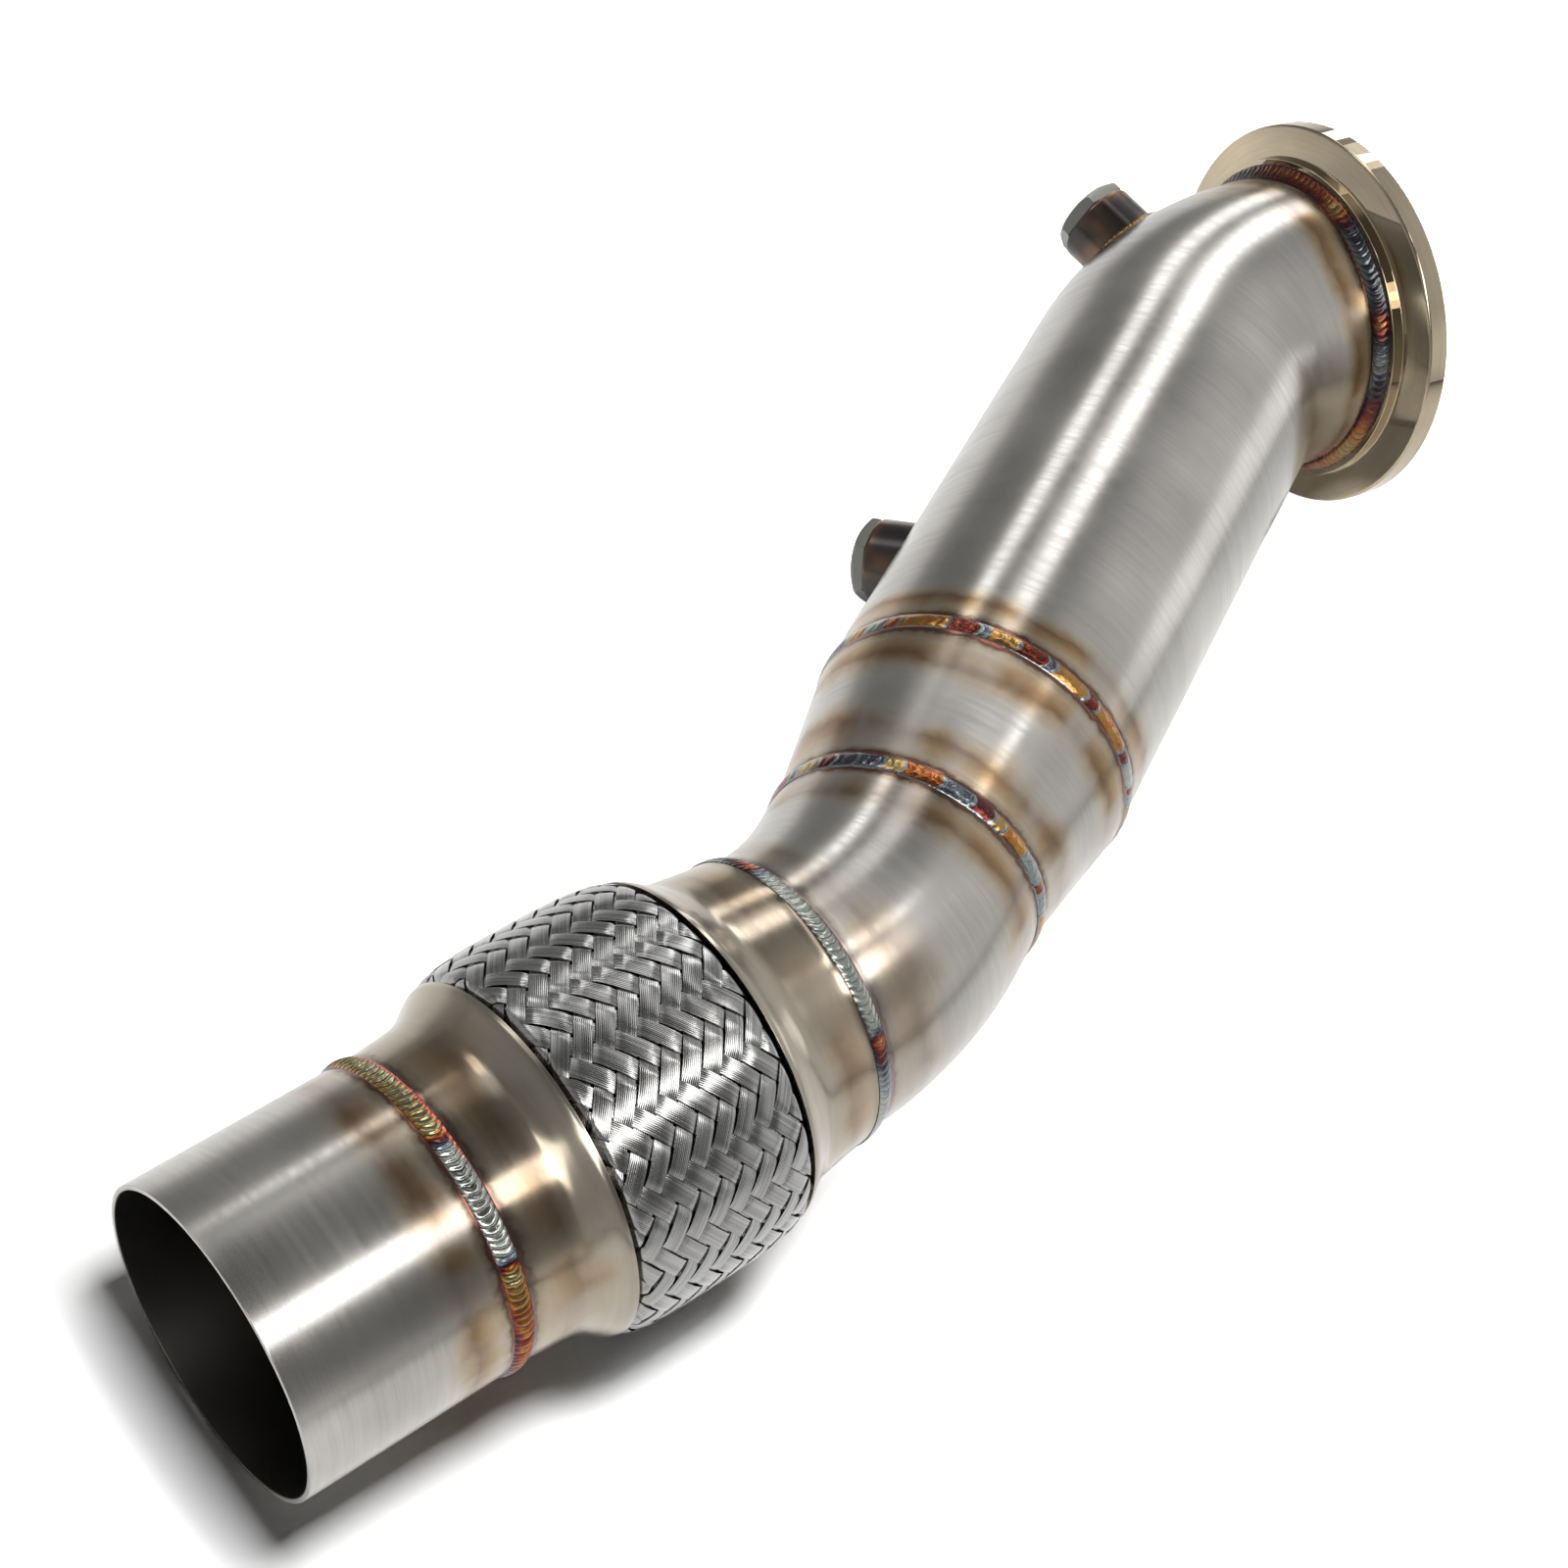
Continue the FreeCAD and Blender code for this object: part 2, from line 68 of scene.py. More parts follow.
# Runs along the centre line, from the outlet's mouth
OUTLET_WELD = OUTLET_LENGTH
LOWER_RIM = OUTLET_WELD + COLLAR_LENGTH
UPPER_RIM = LOWER_RIM + BRAID_LENGTH
SLIP_WELD = UPPER_RIM + COLLAR_LENGTH
ELBOW_START = SLIP_WELD - SLIP_DEPTH
ELBOW_BEND = SLIP_WELD + ELBOW_START_LENGTH
ELBOW_BEND_END = ELBOW_BEND + BEND_RADIUS * math.radians(ELBOW_ANGLE)
LOWER_REDUCER_WELD = ELBOW_BEND_END + ELBOW_END_LENGTH
UPPER_REDUCER_WELD = LOWER_REDUCER_WELD + REDUCER_LENGTH
MAIN_BEND = UPPER_REDUCER_WELD + MAIN_LENGTH
MAIN_BEND_END = MAIN_BEND + BEND_RADIUS * math.radians(MAIN_ANGLE)
STUB_END = MAIN_BEND_END + STUB_LENGTH

# Tubes and collars
WALL = 1.5
OUTLET_RADIUS = 40.6
ELBOW_RADIUS = 38.1
MAIN_RADIUS = 44.45
REDUCER_LAND = 3.0
REDUCER_EASE = 0.35
NECK_BORE = 38.35
NECK_RADIUS = 39.95
COLLAR_WALL = 1.6
COLLAR_LAND = 3.6
COLLAR_EASE = 0.45
LIP_RADIUS = 47.3
EDGE_EASE = 0.3

# A collar's flare between its land and its lip: heights above its neck's end, and radii
COLLAR_FLARE = [(14.0, 41.4), (17.5, 41.95), (19.7, 42.78), (22.7, 44.58), (25.9, 46.76)]

# The braid's ribbons
RIBBONS = 36
RIBBON_START = 14.5
RIBBON_TURNING = 1.6
BRAID_RADIUS = 50.0
BRAID_END_DROP = 2.4
BRAID_TUCK = 3.0
RIBBON_ARCH = 0.16
RIBBON_SHARE = 0.87
RIBBON_THICKNESS = 0.3
RIBBON_RISE = 0.7
RIBBON_CROWN = 0.1
RIBBON_SAMPLES = 96
TUCK_REACH = (2.2, -0.2)
TUCK_DEPTH = 2.35
TUCK_SLOPE = 0.545
WIRES = 9.0

# Weld beads
BEAD_WIDTH = 5.6
BEAD_HEIGHT = 0.9
BEAD_TOE = BEAD_WIDTH / 2
SLIP_LEG = 4.1
SLIP_HEEL = 1.2
HUB_LEG = 1.7
CORNER_BULGE = 0.5
BEAD_ROOT = 0.4
CORNER_ROOT = 1.2
BEAD_STEPS = 12
CELL_BOW = 3.0
CELL_RIM = 1.8

# Each bead's number of ripples, their bow and their wander
OUTLET_BEAD = {"ripples": 128.0, "bow": 0.8, "wander": 1.5}
SLIP_BEAD = {"ripples": 120.0, "bow": 0.8, "wander": 1.5}
REDUCER_BEAD = {"ripples": 90.0, "bow": 0.8, "wander": 2.0}
FLANGE_BEAD = {"ripples": 130.0, "bow": 0.8, "wander": 1.5}
BUNG_BEAD = {"ripples": 52.0, "bow": 0.4, "wander": 3.0}
SIDES_PER_RIPPLE = 9

# How high the ripples stand, how far the butt beads are lowered for them, and their lumps
OUTLET_RIPPLE = 0.42
OUTLET_LOWERED = 0.3
REDUCER_RIPPLE = 0.1
REDUCER_LOWERED = 0.12
CORNER_RIPPLE = 0.25
BUNG_RIPPLE = 0.22
BEAD_LUMPS = 0.1
REDUCER_LUMPS = 0.14

# The flange: heights above the main tube's bend, and radii
FLANGE_START = 4.0
FLANGE_TAPER = 7.7
FLANGE_RIM = 9.85
FLANGE_SOCKET = 9.3
FLANGE_SEAT = 15.3
FLANGE_FACE = 16.88
HUB_RADIUS = 49.4
RIM_RADIUS = 58.68
RIM_CORNER = 0.5
RIM_EDGE = 0.48
SEAT_RADIUS = 48.5
SOCKET_RADIUS = 44.6
FLANGE_BORE = MAIN_RADIUS - WALL
FLANGE_EASE = 0.25
FLANGE_SIDES = 256

# Bungs and plugs: the run of each and its clock angle on the pipe, radii, and heights above
# the centre line
LOWER_BUNG = (UPPER_REDUCER_WELD + 68.6, -19.5)
UPPER_BUNG = (MAIN_BEND + BEND_RADIUS * math.radians(21.5), 10.0)
BUNG_RADIUS = 12.7
BUNG_BORE = 9.1
BUNG_FLOOR = 46.0
DRILL_LENGTH = 30.0
BUNG_TOP = 56.65
BUNG_EDGE = 0.8
BUNG_SIDE_HEIGHTS = (48.0, 50.0, 52.0, 54.0)
BUNG_WELD_WIDTH = 2.4
BUNG_WELD_HEIGHT = 1.55
BUNG_WELD_ROOT = 0.3
BUNG_WELD_STEPS = 10
BUNG_WELD_SIDES = 540
BUNG_SIDES = 96
PLUG_FLATS = 22.0
PLUG_SHANK = 9.0
PLUG_END = 46.2
PLUG_TOP = 61.05
PLUG_CHAMFER_RADIUS = 10.4
PLUG_CHAMFER_SLOPE = 0.62
PLUG_INNER_RADIUS = 7.0
AXIS_HOLE = 0.01

# The colour cells of the two flat beads: the clock angle where each starts, and its heat
LOWER_REDUCER_CELLS = [
    (-180, 0.3), (-168, 0.5), (-158, 0.24), (-140, 0.45), (-125, 0.75), (-110, 0.3), (-92, 0.22),
    (-75, 0.5), (-60, 0.3), (-40, 0.7), (-22, 0.36), (-5, 0.2), (15, 0.42), (25, 0.62), (31, 0.14),
    (42, 0.46), (50, 0.58), (60, 0.62), (71, 0.16), (79, 0.33), (95, 0.68), (108, 0.48),
    (118, 0.17), (124, 0.26), (137, 0.8), (151, 0.42), (157, 0.74), (168, 0.24),
]
UPPER_REDUCER_CELLS = [
    (-180, 0.25), (-166, 0.44), (-150, 0.28), (-132, 0.7), (-116, 0.3), (-98, 0.48), (-84, 0.24),
    (-66, 0.42), (-50, 0.75), (-36, 0.26), (-18, 0.46), (-4, 0.3), (14, 0.6), (28, 0.22),
    (37, 0.84), (45, 0.36), (52, 0.26), (70, 0.44), (81, 0.64), (84, 0.22), (95, 0.43),
    (106, 0.6), (109, 0.22), (123, 0.45), (129, 0.27), (147, 0.46), (153, 0.9), (163, 0.43),
    (167, 0.76), (172, 0.2),
]

# Colours of steel
TUBE_STEEL = (0.46, 0.445, 0.42)
COLLAR_STEEL = (0.37, 0.33, 0.27)
FLANGE_STEEL = (0.50, 0.42, 0.30)
PLUG_STEEL = (0.27, 0.27, 0.25)
LINE_PITCH = 0.22
LINE_GREY = (0.16, 0.15, 0.14)
# Painted shade inside the bores: the dark colour given to a tube's inner face
BORE_SHADE = (0.055, 0.052, 0.048)
# Painted shade deep inside the pipe: dark colours for the inner bellows and liner
INNER_SHADED_STEEL = {"flex_bellows": (0.12, 0.11, 0.10), "flex_liner": (0.05, 0.048, 0.045)}


# The centre line

def straight(length):
    return Matrix.Translation((0, 0, length * MM))


def clocked(angle):
    return Matrix.Rotation(math.radians(angle), 4, "Z")


def bent(arc):
    """Along a bend whose centre lies on the local X axis."""
    centre = Matrix.Translation((BEND_RADIUS * MM, 0, 0))
    return centre @ Matrix.Rotation(arc / BEND_RADIUS, 4, "Y") @ centre.inverted()


def line_at(run):
    """The station at a run from the outlet. Its X axis never twists."""
    turns = Euler([math.radians(angle) for angle in OUTLET_TURNS])
    station = Matrix.Translation(Vector(OUTLET_CENTRE) * MM) @ turns.to_matrix().to_4x4()
    station = station @ straight(min(run, ELBOW_BEND))
    if run > ELBOW_BEND:
        station = station @ bent(min(run, ELBOW_BEND_END) - ELBOW_BEND)
    if run > ELBOW_BEND_END:
        station = station @ straight(min(run, MAIN_BEND) - ELBOW_BEND_END)
    if run > MAIN_BEND:
        arc = min(run, MAIN_BEND_END) - MAIN_BEND
        station = station @ clocked(MAIN_BEND_CLOCK) @ bent(arc) @ clocked(-MAIN_BEND_CLOCK)
    if run > MAIN_BEND_END:
        station = station @ straight(run - MAIN_BEND_END)
    return station


# Meshes

def shown(name, data):
    """A new object in the scene."""
    thing = bpy.data.objects.new(name, data)
    bpy.context.scene.collection.objects.link(thing)
    return thing


def mesh_from(name, form):
    """A mesh from a bmesh, which ends here."""
    mesh = bpy.data.meshes.new(name)
    form.to_mesh(mesh)
    form.free()
    return mesh


def named_vectors(mesh, name, vectors):
    """Keeps one vector for each point, for the materials to read."""
    kept = mesh.attributes.new(name, "FLOAT_VECTOR", "POINT")
    kept.data.foreach_set("vector", [part for vector in vectors for part in vector])


def named_numbers(mesh, name, numbers):
    """Keeps one number for each point."""
    kept = mesh.attributes.new(name, "FLOAT", "POINT")
    kept.data.foreach_set("value", numbers)


def grid_faces(rings, sides, closed):
    """Quads between rings of points, each ring closed on itself."""
    faces = []
    for ring in range(rings if closed else rings - 1):
        after = (ring + 1) % rings
        for side in range(sides):
            beside = (side + 1) % sides
            faces.append((
                ring * sides + side,
                ring * sides + beside,
                after * sides + beside,
                after * sides + side,
            ))
    return faces


def eased(profile, ease=EDGE_EASE):
    """Rounds the corners of a closed outline of (run, radius) points."""
    rounded = []
    count = len(profile)
    for index in range(count):
        corner = Vector(profile[index])
        before = Vector(profile[index - 1])
        after = Vector(profile[(index + 1) % count])
        turn = (corner - before).angle(after - corner)
        if turn < math.radians(12):
            rounded.append(tuple(corner))
            continue
        back = before - corner
        ahead = after - corner
        back_reach = min(ease, back.length * 0.35)
        ahead_reach = min(ease, ahead.length * 0.35)
        back.normalize()
        ahead.normalize()
        first = corner + back * back_reach
        last = corner + ahead * ahead_reach
        rounded.append(tuple(first + back * back_reach * 0.5))
        rounded.append(tuple(first))
        for share in (0.25, 0.5, 0.75):
            near = first.lerp(corner, share)
            far = corner.lerp(last, share)
            rounded.append(tuple(near.lerp(far, share)))
        rounded.append(tuple(last))
        rounded.append(tuple(last + ahead * ahead_reach * 0.5))
    return rounded


def filled_in(profile, step=2.5):
    """Adds points along the long runs of an outline."""
    filled = []
    for index, point in enumerate(profile):
        start = Vector(point)
        end = Vector(profile[(index + 1) % len(profile)])
        pieces = max(1, math.ceil((end - start).length / step))
        for piece in range(pieces):
            filled.append(tuple(start.lerp(end, piece / pieces)))
    return filled


def curve_through(points, steps=6):
    """A smooth run of points through a few given ones."""
    corners = [Vector(point) for point in points]
    corners = [corners[0] * 2 - corners[1]] + corners + [corners[-1] * 2 - corners[-2]]
    smooth = []
    for index in range(1, len(corners) - 2):
        before, start, end, after = corners[index - 1:index + 3]
        for step in range(steps):
            share = step / steps
            pull = (end - before) * share
            bend = (before * 2 - start * 5 + end * 4 - after) * share ** 2
            swing = (start * 3 - before - end * 3 + after) * share ** 3
            smooth.append(tuple(start + (pull + bend + swing) * 0.5))
    smooth.append(tuple(corners[-2]))
    return smooth


def finished(node, mesh, material, part="skin", sharp=32):
    """Shades a mesh, gives it its material and hangs it on the part in a node's place."""
    mesh.shade_smooth()
    mesh.set_sharp_from_angle(angle=math.radians(sharp))
    mesh.materials.clear()
    mesh.materials.append(material)
    piece = shown(node + "." + part, mesh)
    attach(piece, "root")
    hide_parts(node)


def swept_mesh(name, profile, sides=SIDES):
    """A closed outline of (run, radius) points, swept round the centre line."""
    points = []
    unbent = []
    for run, radius in profile:
        station = line_at(run)
        for side in range(sides):
            turn = 2 * math.pi * side / sides
            across = Vector((radius * math.cos(turn) * MM, radius * math.sin(turn) * MM, 0))
            points.append(station @ across)
            unbent.append((across.x, across.y, run * MM))
    mesh = bpy.data.meshes.new(name)
    mesh.from_pydata(points, [], grid_faces(len(profile), sides, True))
    named_vectors(mesh, "unbent", unbent)
    mesh.update()
    return mesh


# Numbers and colours in node trees

class Reading:
    """A number in a node tree, on which plain arithmetic adds Math nodes."""

    def __init__(self, tree, socket):
        self.tree = tree
        self.socket = socket

    def worked(self, operation, *others):
        node = self.tree.nodes.new("ShaderNodeMath")
        node.operation = operation
        for entry, value in zip(node.inputs, (self,) + others):
            feed(entry, value)
        return Reading(self.tree, node.outputs[0])

    def __add__(self, other):
        return self.worked("ADD", other)

    __radd__ = __add__

    def __mul__(self, other):
        return self.worked("MULTIPLY", other)

    __rmul__ = __mul__

    def __sub__(self, other):
        return self.worked("SUBTRACT", other)

    def __rsub__(self, other):
        return self * -1.0 + other

    def __truediv__(self, other):
        return self.worked("DIVIDE", other)

    def eased_between(self, low, high, start=0.0, end=1.0):
        """Goes smoothly from start to end as the number goes from low to high."""
        node = self.tree.nodes.new("ShaderNodeMapRange")
        node.interpolation_type = "SMOOTHSTEP"
        for entry, value in zip(node.inputs, (self, low, high, start, end)):
            feed(entry, value)
        return Reading(self.tree, node.outputs[0])

    def eased_out(self, low, high):
        """Goes smoothly from 1 to 0 as the number goes from low to high."""
        return self.eased_between(low, high, 1.0, 0.0)


def feed(entry, value):
    """Links a reading to a socket, or sets the socket to a plain value."""
    if isinstance(value, Reading):
        value.tree.links.new(value.socket, entry)
    else:
        entry.default_value = value


def split(vector):
    node = vector.tree.nodes.new("ShaderNodeSeparateXYZ")
    feed(node.inputs[0], vector)
    return [Reading(vector.tree, socket) for socket in node.outputs]


def vector_of(tree, x, y, z):
    node = tree.nodes.new("ShaderNodeCombineXYZ")
    for entry, value in zip(node.inputs, (x, y, z)):
        feed(entry, value)
    return Reading(tree, node.outputs[0])


def stretched(vector, scale):
    """The vector with each of its parts times its own factor."""
    node = vector.tree.nodes.new("ShaderNodeVectorMath")
    node.operation = "MULTIPLY"
    feed(node.inputs[0], vector)
    node.inputs[1].default_value = scale
    return Reading(vector.tree, node.outputs[0])


def noise(vector, scale, detail=2.0, roughness=0.5):
    node = vector.tree.nodes.new("ShaderNodeTexNoise")
    feed(node.inputs["Vector"], vector)
    feed(node.inputs["Scale"], scale)
    feed(node.inputs["Detail"], detail)
    feed(node.inputs["Roughness"], roughness)
    return Reading(vector.tree, node.outputs[0])


def by_chance(number):
    """A number from 0 to 1 that is fixed for each whole number."""
    node = number.tree.nodes.new("ShaderNodeTexWhiteNoise")
    node.noise_dimensions = "1D"
    feed(node.inputs["W"], number)
    return Reading(number.tree, node.outputs["Value"])


def ramp(number, stops):
    """A colour that goes from stop to stop, each a (place, colour) pair."""
    node = number.tree.nodes.new("ShaderNodeValToRGB")
    elements = node.color_ramp.elements
    while len(elements) < len(stops):
        elements.new(0.5)
    for element, (place, colour) in zip(elements, stops):
        element.position = place
        element.color = (*colour, 1)
    feed(node.inputs[0], number)
    return Reading(number.tree, node.outputs[0])


def mixed(tree, share, first, second):
    """A colour between two others, each of them a reading or plain red, green and blue."""
    node = tree.nodes.new("ShaderNodeMix")
    node.data_type = "RGBA"
    feed(node.inputs[0], share)
    for entry, colour in ((node.inputs[6], first), (node.inputs[7], second)):
        feed(entry, colour if isinstance(colour, Reading) else (*colour, 1))
    return Reading(tree, node.outputs[2])


KINDS = {"number": "NodeSocketFloat", "vector": "NodeSocketVector", "colour": "NodeSocketColor"}


class Effect:
    """A shared shader node group, with named inputs and outputs and the kind of each."""

    def __init__(self, name, inputs, outputs):
        self.tree = bpy.data.node_groups.new(name, "ShaderNodeTree")
        for way, sockets in (("INPUT", inputs), ("OUTPUT", outputs)):
            for label, kind in sockets.items():
                self.tree.interface.new_socket(label, in_out=way, socket_type=KINDS[kind])
        self.entry = self.tree.nodes.new("NodeGroupInput")
        self.outcome = self.tree.nodes.new("NodeGroupOutput")

    def given(self, label):
        return Reading(self.tree, self.entry.outputs[label])

    def give(self, **readings):
        for label, reading in readings.items():
            feed(self.outcome.inputs[label], reading)

    def placed_in(self, tree, **values):
        """Puts the group in a tree. Returns its outputs by name."""
        node = tree.nodes.new("ShaderNodeGroup")
        node.node_tree = self.tree
        for label, value in values.items():
            feed(node.inputs[label], value)
        return {socket.name: Reading(tree, socket) for socket in node.outputs}


def attribute(tree, name, kind="Vector"):
    node = tree.nodes.new("ShaderNodeAttribute")
    node.attribute_name = name
    return Reading(tree, node.outputs[kind])


def unbent_place(tree):
    """The point's place in millimetres on the pipe as it was before it was bent."""
    return stretched(attribute(tree, "unbent"), MM_IN_METRE)


def object_place(tree):
    node = tree.nodes.new("ShaderNodeTexCoord")
    return Reading(tree, node.outputs["Object"])


def clock_angle(x, y):
    return y.worked("ARCTAN2", x) * math.degrees(1)


def ripple_phase(place, across, ripples, bow, wander):
    """How far round a bead a point lies, counted in bowed and wandering ripples."""
    x, y, _ = split(place)
    turns = y.worked("ARCTAN2", x) / (2 * math.pi)
    drift = (noise(place, 0.21) - 0.5) * wander
    return turns * ripples + across * across * bow + drift


# Effects that several finishes share

def pipe_place_effect():
    """Where a point lies on the pipe: its run, clock angle and radius."""
    outputs = {"place": "vector", "run": "number", "clock": "number", "radius": "number"}
    effect = Effect("pipe_place", {}, outputs)
    place = unbent_place(effect.tree)
    x, y, run = split(place)
    radius = (x * x + y * y).worked("SQRT")
    effect.give(place=place, run=run, clock=clock_angle(x, y), radius=radius)
    return effect


def brushed_effect():
    """Fine lines round the pipe, softer streaks and large clouds."""
    outputs = {"lines": "number", "streaks": "number", "clouds": "number", "speckle": "number"}
    effect = Effect("brushed", {"place": "vector", "pitch": "number"}, outputs)
    tree = effect.tree
    place = effect.given("place")
    x, y, run = split(place)
    step = run / effect.given("pitch")
    thin = vector_of(tree, x * 0.06, y * 0.06, step)
    wide = vector_of(tree, x * 0.035, y * 0.035, step * 0.14)
    effect.give(
        lines=noise(thin, 1.0, 3.0, 0.65),
        streaks=noise(wide, 1.0),
        clouds=noise(place, 0.022, 3.0, 0.55),
        speckle=noise(place, 1.6, 2.0, 0.6),
    )
    return effect


# A weld's tint on the tube beside it, from the bead's toe to the tint's end
HEAT_STOPS = [
    (0.00, (0.24, 0.09, 0.06)),
    (0.03, (0.09, 0.06, 0.05)),
    (0.08, (0.30, 0.24, 0.17)),
    (0.17, (0.38, 0.30, 0.21)),
    (0.30, (0.33, 0.23, 0.135)),
    (0.42, (0.24, 0.155, 0.085)),
    (0.50, (0.20, 0.13, 0.075)),
    (0.60, (0.30, 0.215, 0.135)),
    (0.74, (0.38, 0.31, 0.22)),
    (0.88, (0.42, 0.38, 0.31)),
    (1.00, (0.44, 0.42, 0.38)),
]


def heat_band_effect():
    """The tint that a weld leaves on a tube, by distance from its toe."""
    inputs = {"place": "vector", "distance": "number", "reach": "number", "strength": "number"}
    outputs = {"tint": "colour", "share": "number", "gloss": "number"}
    effect = Effect("heat_band", inputs, outputs)
    place = effect.given("place")
    wobble = noise(place, 0.04) - 0.5
    ripple = noise(place, 0.35) - 0.5
    patch = noise(stretched(place, (1.0, 1.0, 0.4)), 0.06)
    scaled = effect.given("distance") / effect.given("reach")
    spread = scaled * (1.0 + wobble * 1.3) + ripple * 0.12
    patchy = patch.eased_between(0.34, 0.58, 0.35, 1.0)
    near = spread.eased_out(0.06, 0.2)
    share = (spread.eased_out(0.5, 1.1) * patchy).worked("MAXIMUM", near) * effect.given("strength")
    on_this_side = scaled.worked("GREATER_THAN", -0.2)
    effect.give(tint=ramp(spread, HEAT_STOPS), share=share * on_this_side, gloss=near)
    return effect


# The colour of a bead by how hot it got
TEMPER_STOPS = [
    (0.00, (0.34, 0.32, 0.28)),
    (0.10, (0.30, 0.26, 0.13)),
    (0.20, (0.34, 0.21, 0.06)),
    (0.30, (0.38, 0.14, 0.035)),
    (0.40, (0.21, 0.03, 0.018)),
    (0.50, (0.06, 0.016, 0.022)),
    (0.60, (0.06, 0.068, 0.085)),
    (0.72, (0.18, 0.21, 0.235)),
    (0.86, (0.29, 0.31, 0.27)),
    (1.00, (0.34, 0.34, 0.32)),
]


def ripple_effect():
    """Where a point lies in a bead's stack of ripples."""
    inputs = {"ripples": "number", "bow": "number", "wander": "number"}
    outputs = {
        "phase": "number", "step": "number", "chance": "number", "across": "number",
        "clock": "number", "place": "vector",
    }
    effect = Effect("bead_ripples", inputs, outputs)
    ripples, bow, wander = [effect.given(label) for label in inputs]
    place = unbent_place(effect.tree)
    across = attribute(effect.tree, "across", "Fac")
    x, y, _ = split(place)
    phase = ripple_phase(place, across, ripples, bow, wander)
    chance = by_chance(phase.worked("FLOOR").worked("FLOORED_MODULO", ripples))
    effect.give(
        phase=phase, step=phase.worked("FRACT"), chance=chance, across=across,
        clock=clock_angle(x, y), place=place,
    )
    return effect


PIPE_PLACE = pipe_place_effect()
BRUSHED = brushed_effect()
HEAT_BAND = heat_band_effect()
BEAD_RIPPLES = ripple_effect()


# Finishes

def new_finish(name, roughness=0.3, metallic=1.0):
    material = bpy.data.materials.new(name)
    material.use_nodes = True
    tree = material.node_tree
    shader = tree.nodes["Principled BSDF"]
    shader.inputs["Metallic"].default_value = metallic
    shader.inputs["Roughness"].default_value = roughness
    return material, tree, shader


def bumped(tree, shader, height, depth):
    """Raises the surface by a height from 0 to 1, times a depth in mm."""
    bump = tree.nodes.new("ShaderNodeBump")
    bump.inputs["Strength"].default_value = 1.0
    bump.inputs["Distance"].default_value = depth * MM
    feed(bump.inputs["Height"], height)
    tree.links.new(bump.outputs[0], shader.inputs["Normal"])


def tube_finish(name, steel, heats, bore=0.0, polish=0.0, line_depth=0.004):
    """Brushed steel with the tints that welds left on it.

    Each heat is (run of the bead's toe, +1 or -1 for the side, reach, strength).
    """
    material, tree, shader = new_finish(name)
    where = PIPE_PLACE.placed_in(tree)
    grain = BRUSHED.placed_in(tree, place=where["place"], pitch=LINE_PITCH)
    dull = tuple(part * 0.84 for part in steel)
    bright = tuple(min(1.0, part * 1.1) for part in steel)
    colour = mixed(tree, grain["clouds"].eased_between(0.3, 0.7), dull, bright)
    toned = grain["lines"] * 0.6 + grain["streaks"] * 0.4
    colour = mixed(tree, toned.eased_between(0.3, 0.72, 0.0, 0.22), colour, LINE_GREY)
    gloss = 0.0
    for run, side, reach, strength in heats:
        distance = (where["run"] - run) * side
        band = HEAT_BAND.placed_in(
            tree, place=where["place"], distance=distance, reach=reach, strength=strength,
        )
        colour = mixed(tree, band["share"], colour, band["tint"])
        gloss = band["gloss"] + gloss
    if bore:
        # Painted shade: the tube's inner face down its bore is darkened
        inside = where["radius"].eased_between(bore + 0.5, bore + 0.1)
        colour = mixed(tree, inside, colour, BORE_SHADE)
    feed(shader.inputs["Base Color"], colour)
    rough = 0.22 - polish + (grain["streaks"] - 0.5) * 0.12 + (grain["clouds"] - 0.5) * 0.08
    if heats:
        rough = rough - gloss * 0.04
    if bore:
        rough = rough + inside * 0.2
    feed(shader.inputs["Roughness"], rough)
    bumped(tree, shader, grain["lines"] * 0.7 + grain["speckle"] * 0.3, line_depth)
    return material


def bead_finish(name, form, stops, shade, spread=0.0, line=None, darkening=0.0):
    """A weld bead whose temper colours change round it and from ripple to ripple.

    form gives the number of ripples, their bow and their wander, and stops give the heat by
    clock angle. shade darkens the valleys and spread sets how much ripples differ in heat.
    line is the clock angles between which a red line follows the upper toe. The last
    argument sets how much the whole bead is darkened.
    """
    material, tree, shader = new_finish(name, 0.2)
    bead = BEAD_RIPPLES.placed_in(tree, **form)
    base = ramp((bead["clock"] + 180.0) / 360.0, [
        ((clock + 180) / 360, (heat, heat, heat)) for clock, heat in stops
    ])
    chance = by_chance(bead["phase"].worked("FLOOR") + 7.0) - 0.5
    wave = noise(bead["place"], 0.5) - 0.5
    centre = bead["across"] * bead["across"]
    heat = base + chance * spread + wave * 0.22 + centre * 0.16
    heat = heat + (bead["step"] - 0.5) * 0.06 + (bead["chance"] - 0.5) * 0.08
    colour = ramp(heat, TEMPER_STOPS)
    valley = bead["step"].eased_out(0.0, 0.34) * shade
    colour = mixed(tree, valley, colour, (0.03, 0.028, 0.03))
    if line:
        begun = bead["clock"].eased_between(line[0], line[0] + 12.0)
        ended = bead["clock"].eased_out(line[1] - 12.0, line[1])
        beside = (bead["across"] + wave * 0.25).eased_between(0.5, 0.66)
        colour = mixed(tree, begun * ended * beside, colour, (0.46, 0.13, 0.09))
    if darkening:
        colour = mixed(tree, darkening, colour, (0.035, 0.028, 0.025))
    toe = bead["across"].worked("ABSOLUTE").eased_between(0.9, 1.0, 0.0, 0.75)
    colour = mixed(tree, toe, colour, (0.06, 0.05, 0.05))
    feed(shader.inputs["Base Color"], colour)
    feed(shader.inputs["Roughness"], 0.16 + bead["chance"] * 0.12 + wave * 0.1)
    bumped(tree, shader, noise(bead["place"], 2.2), 0.03)
    return material


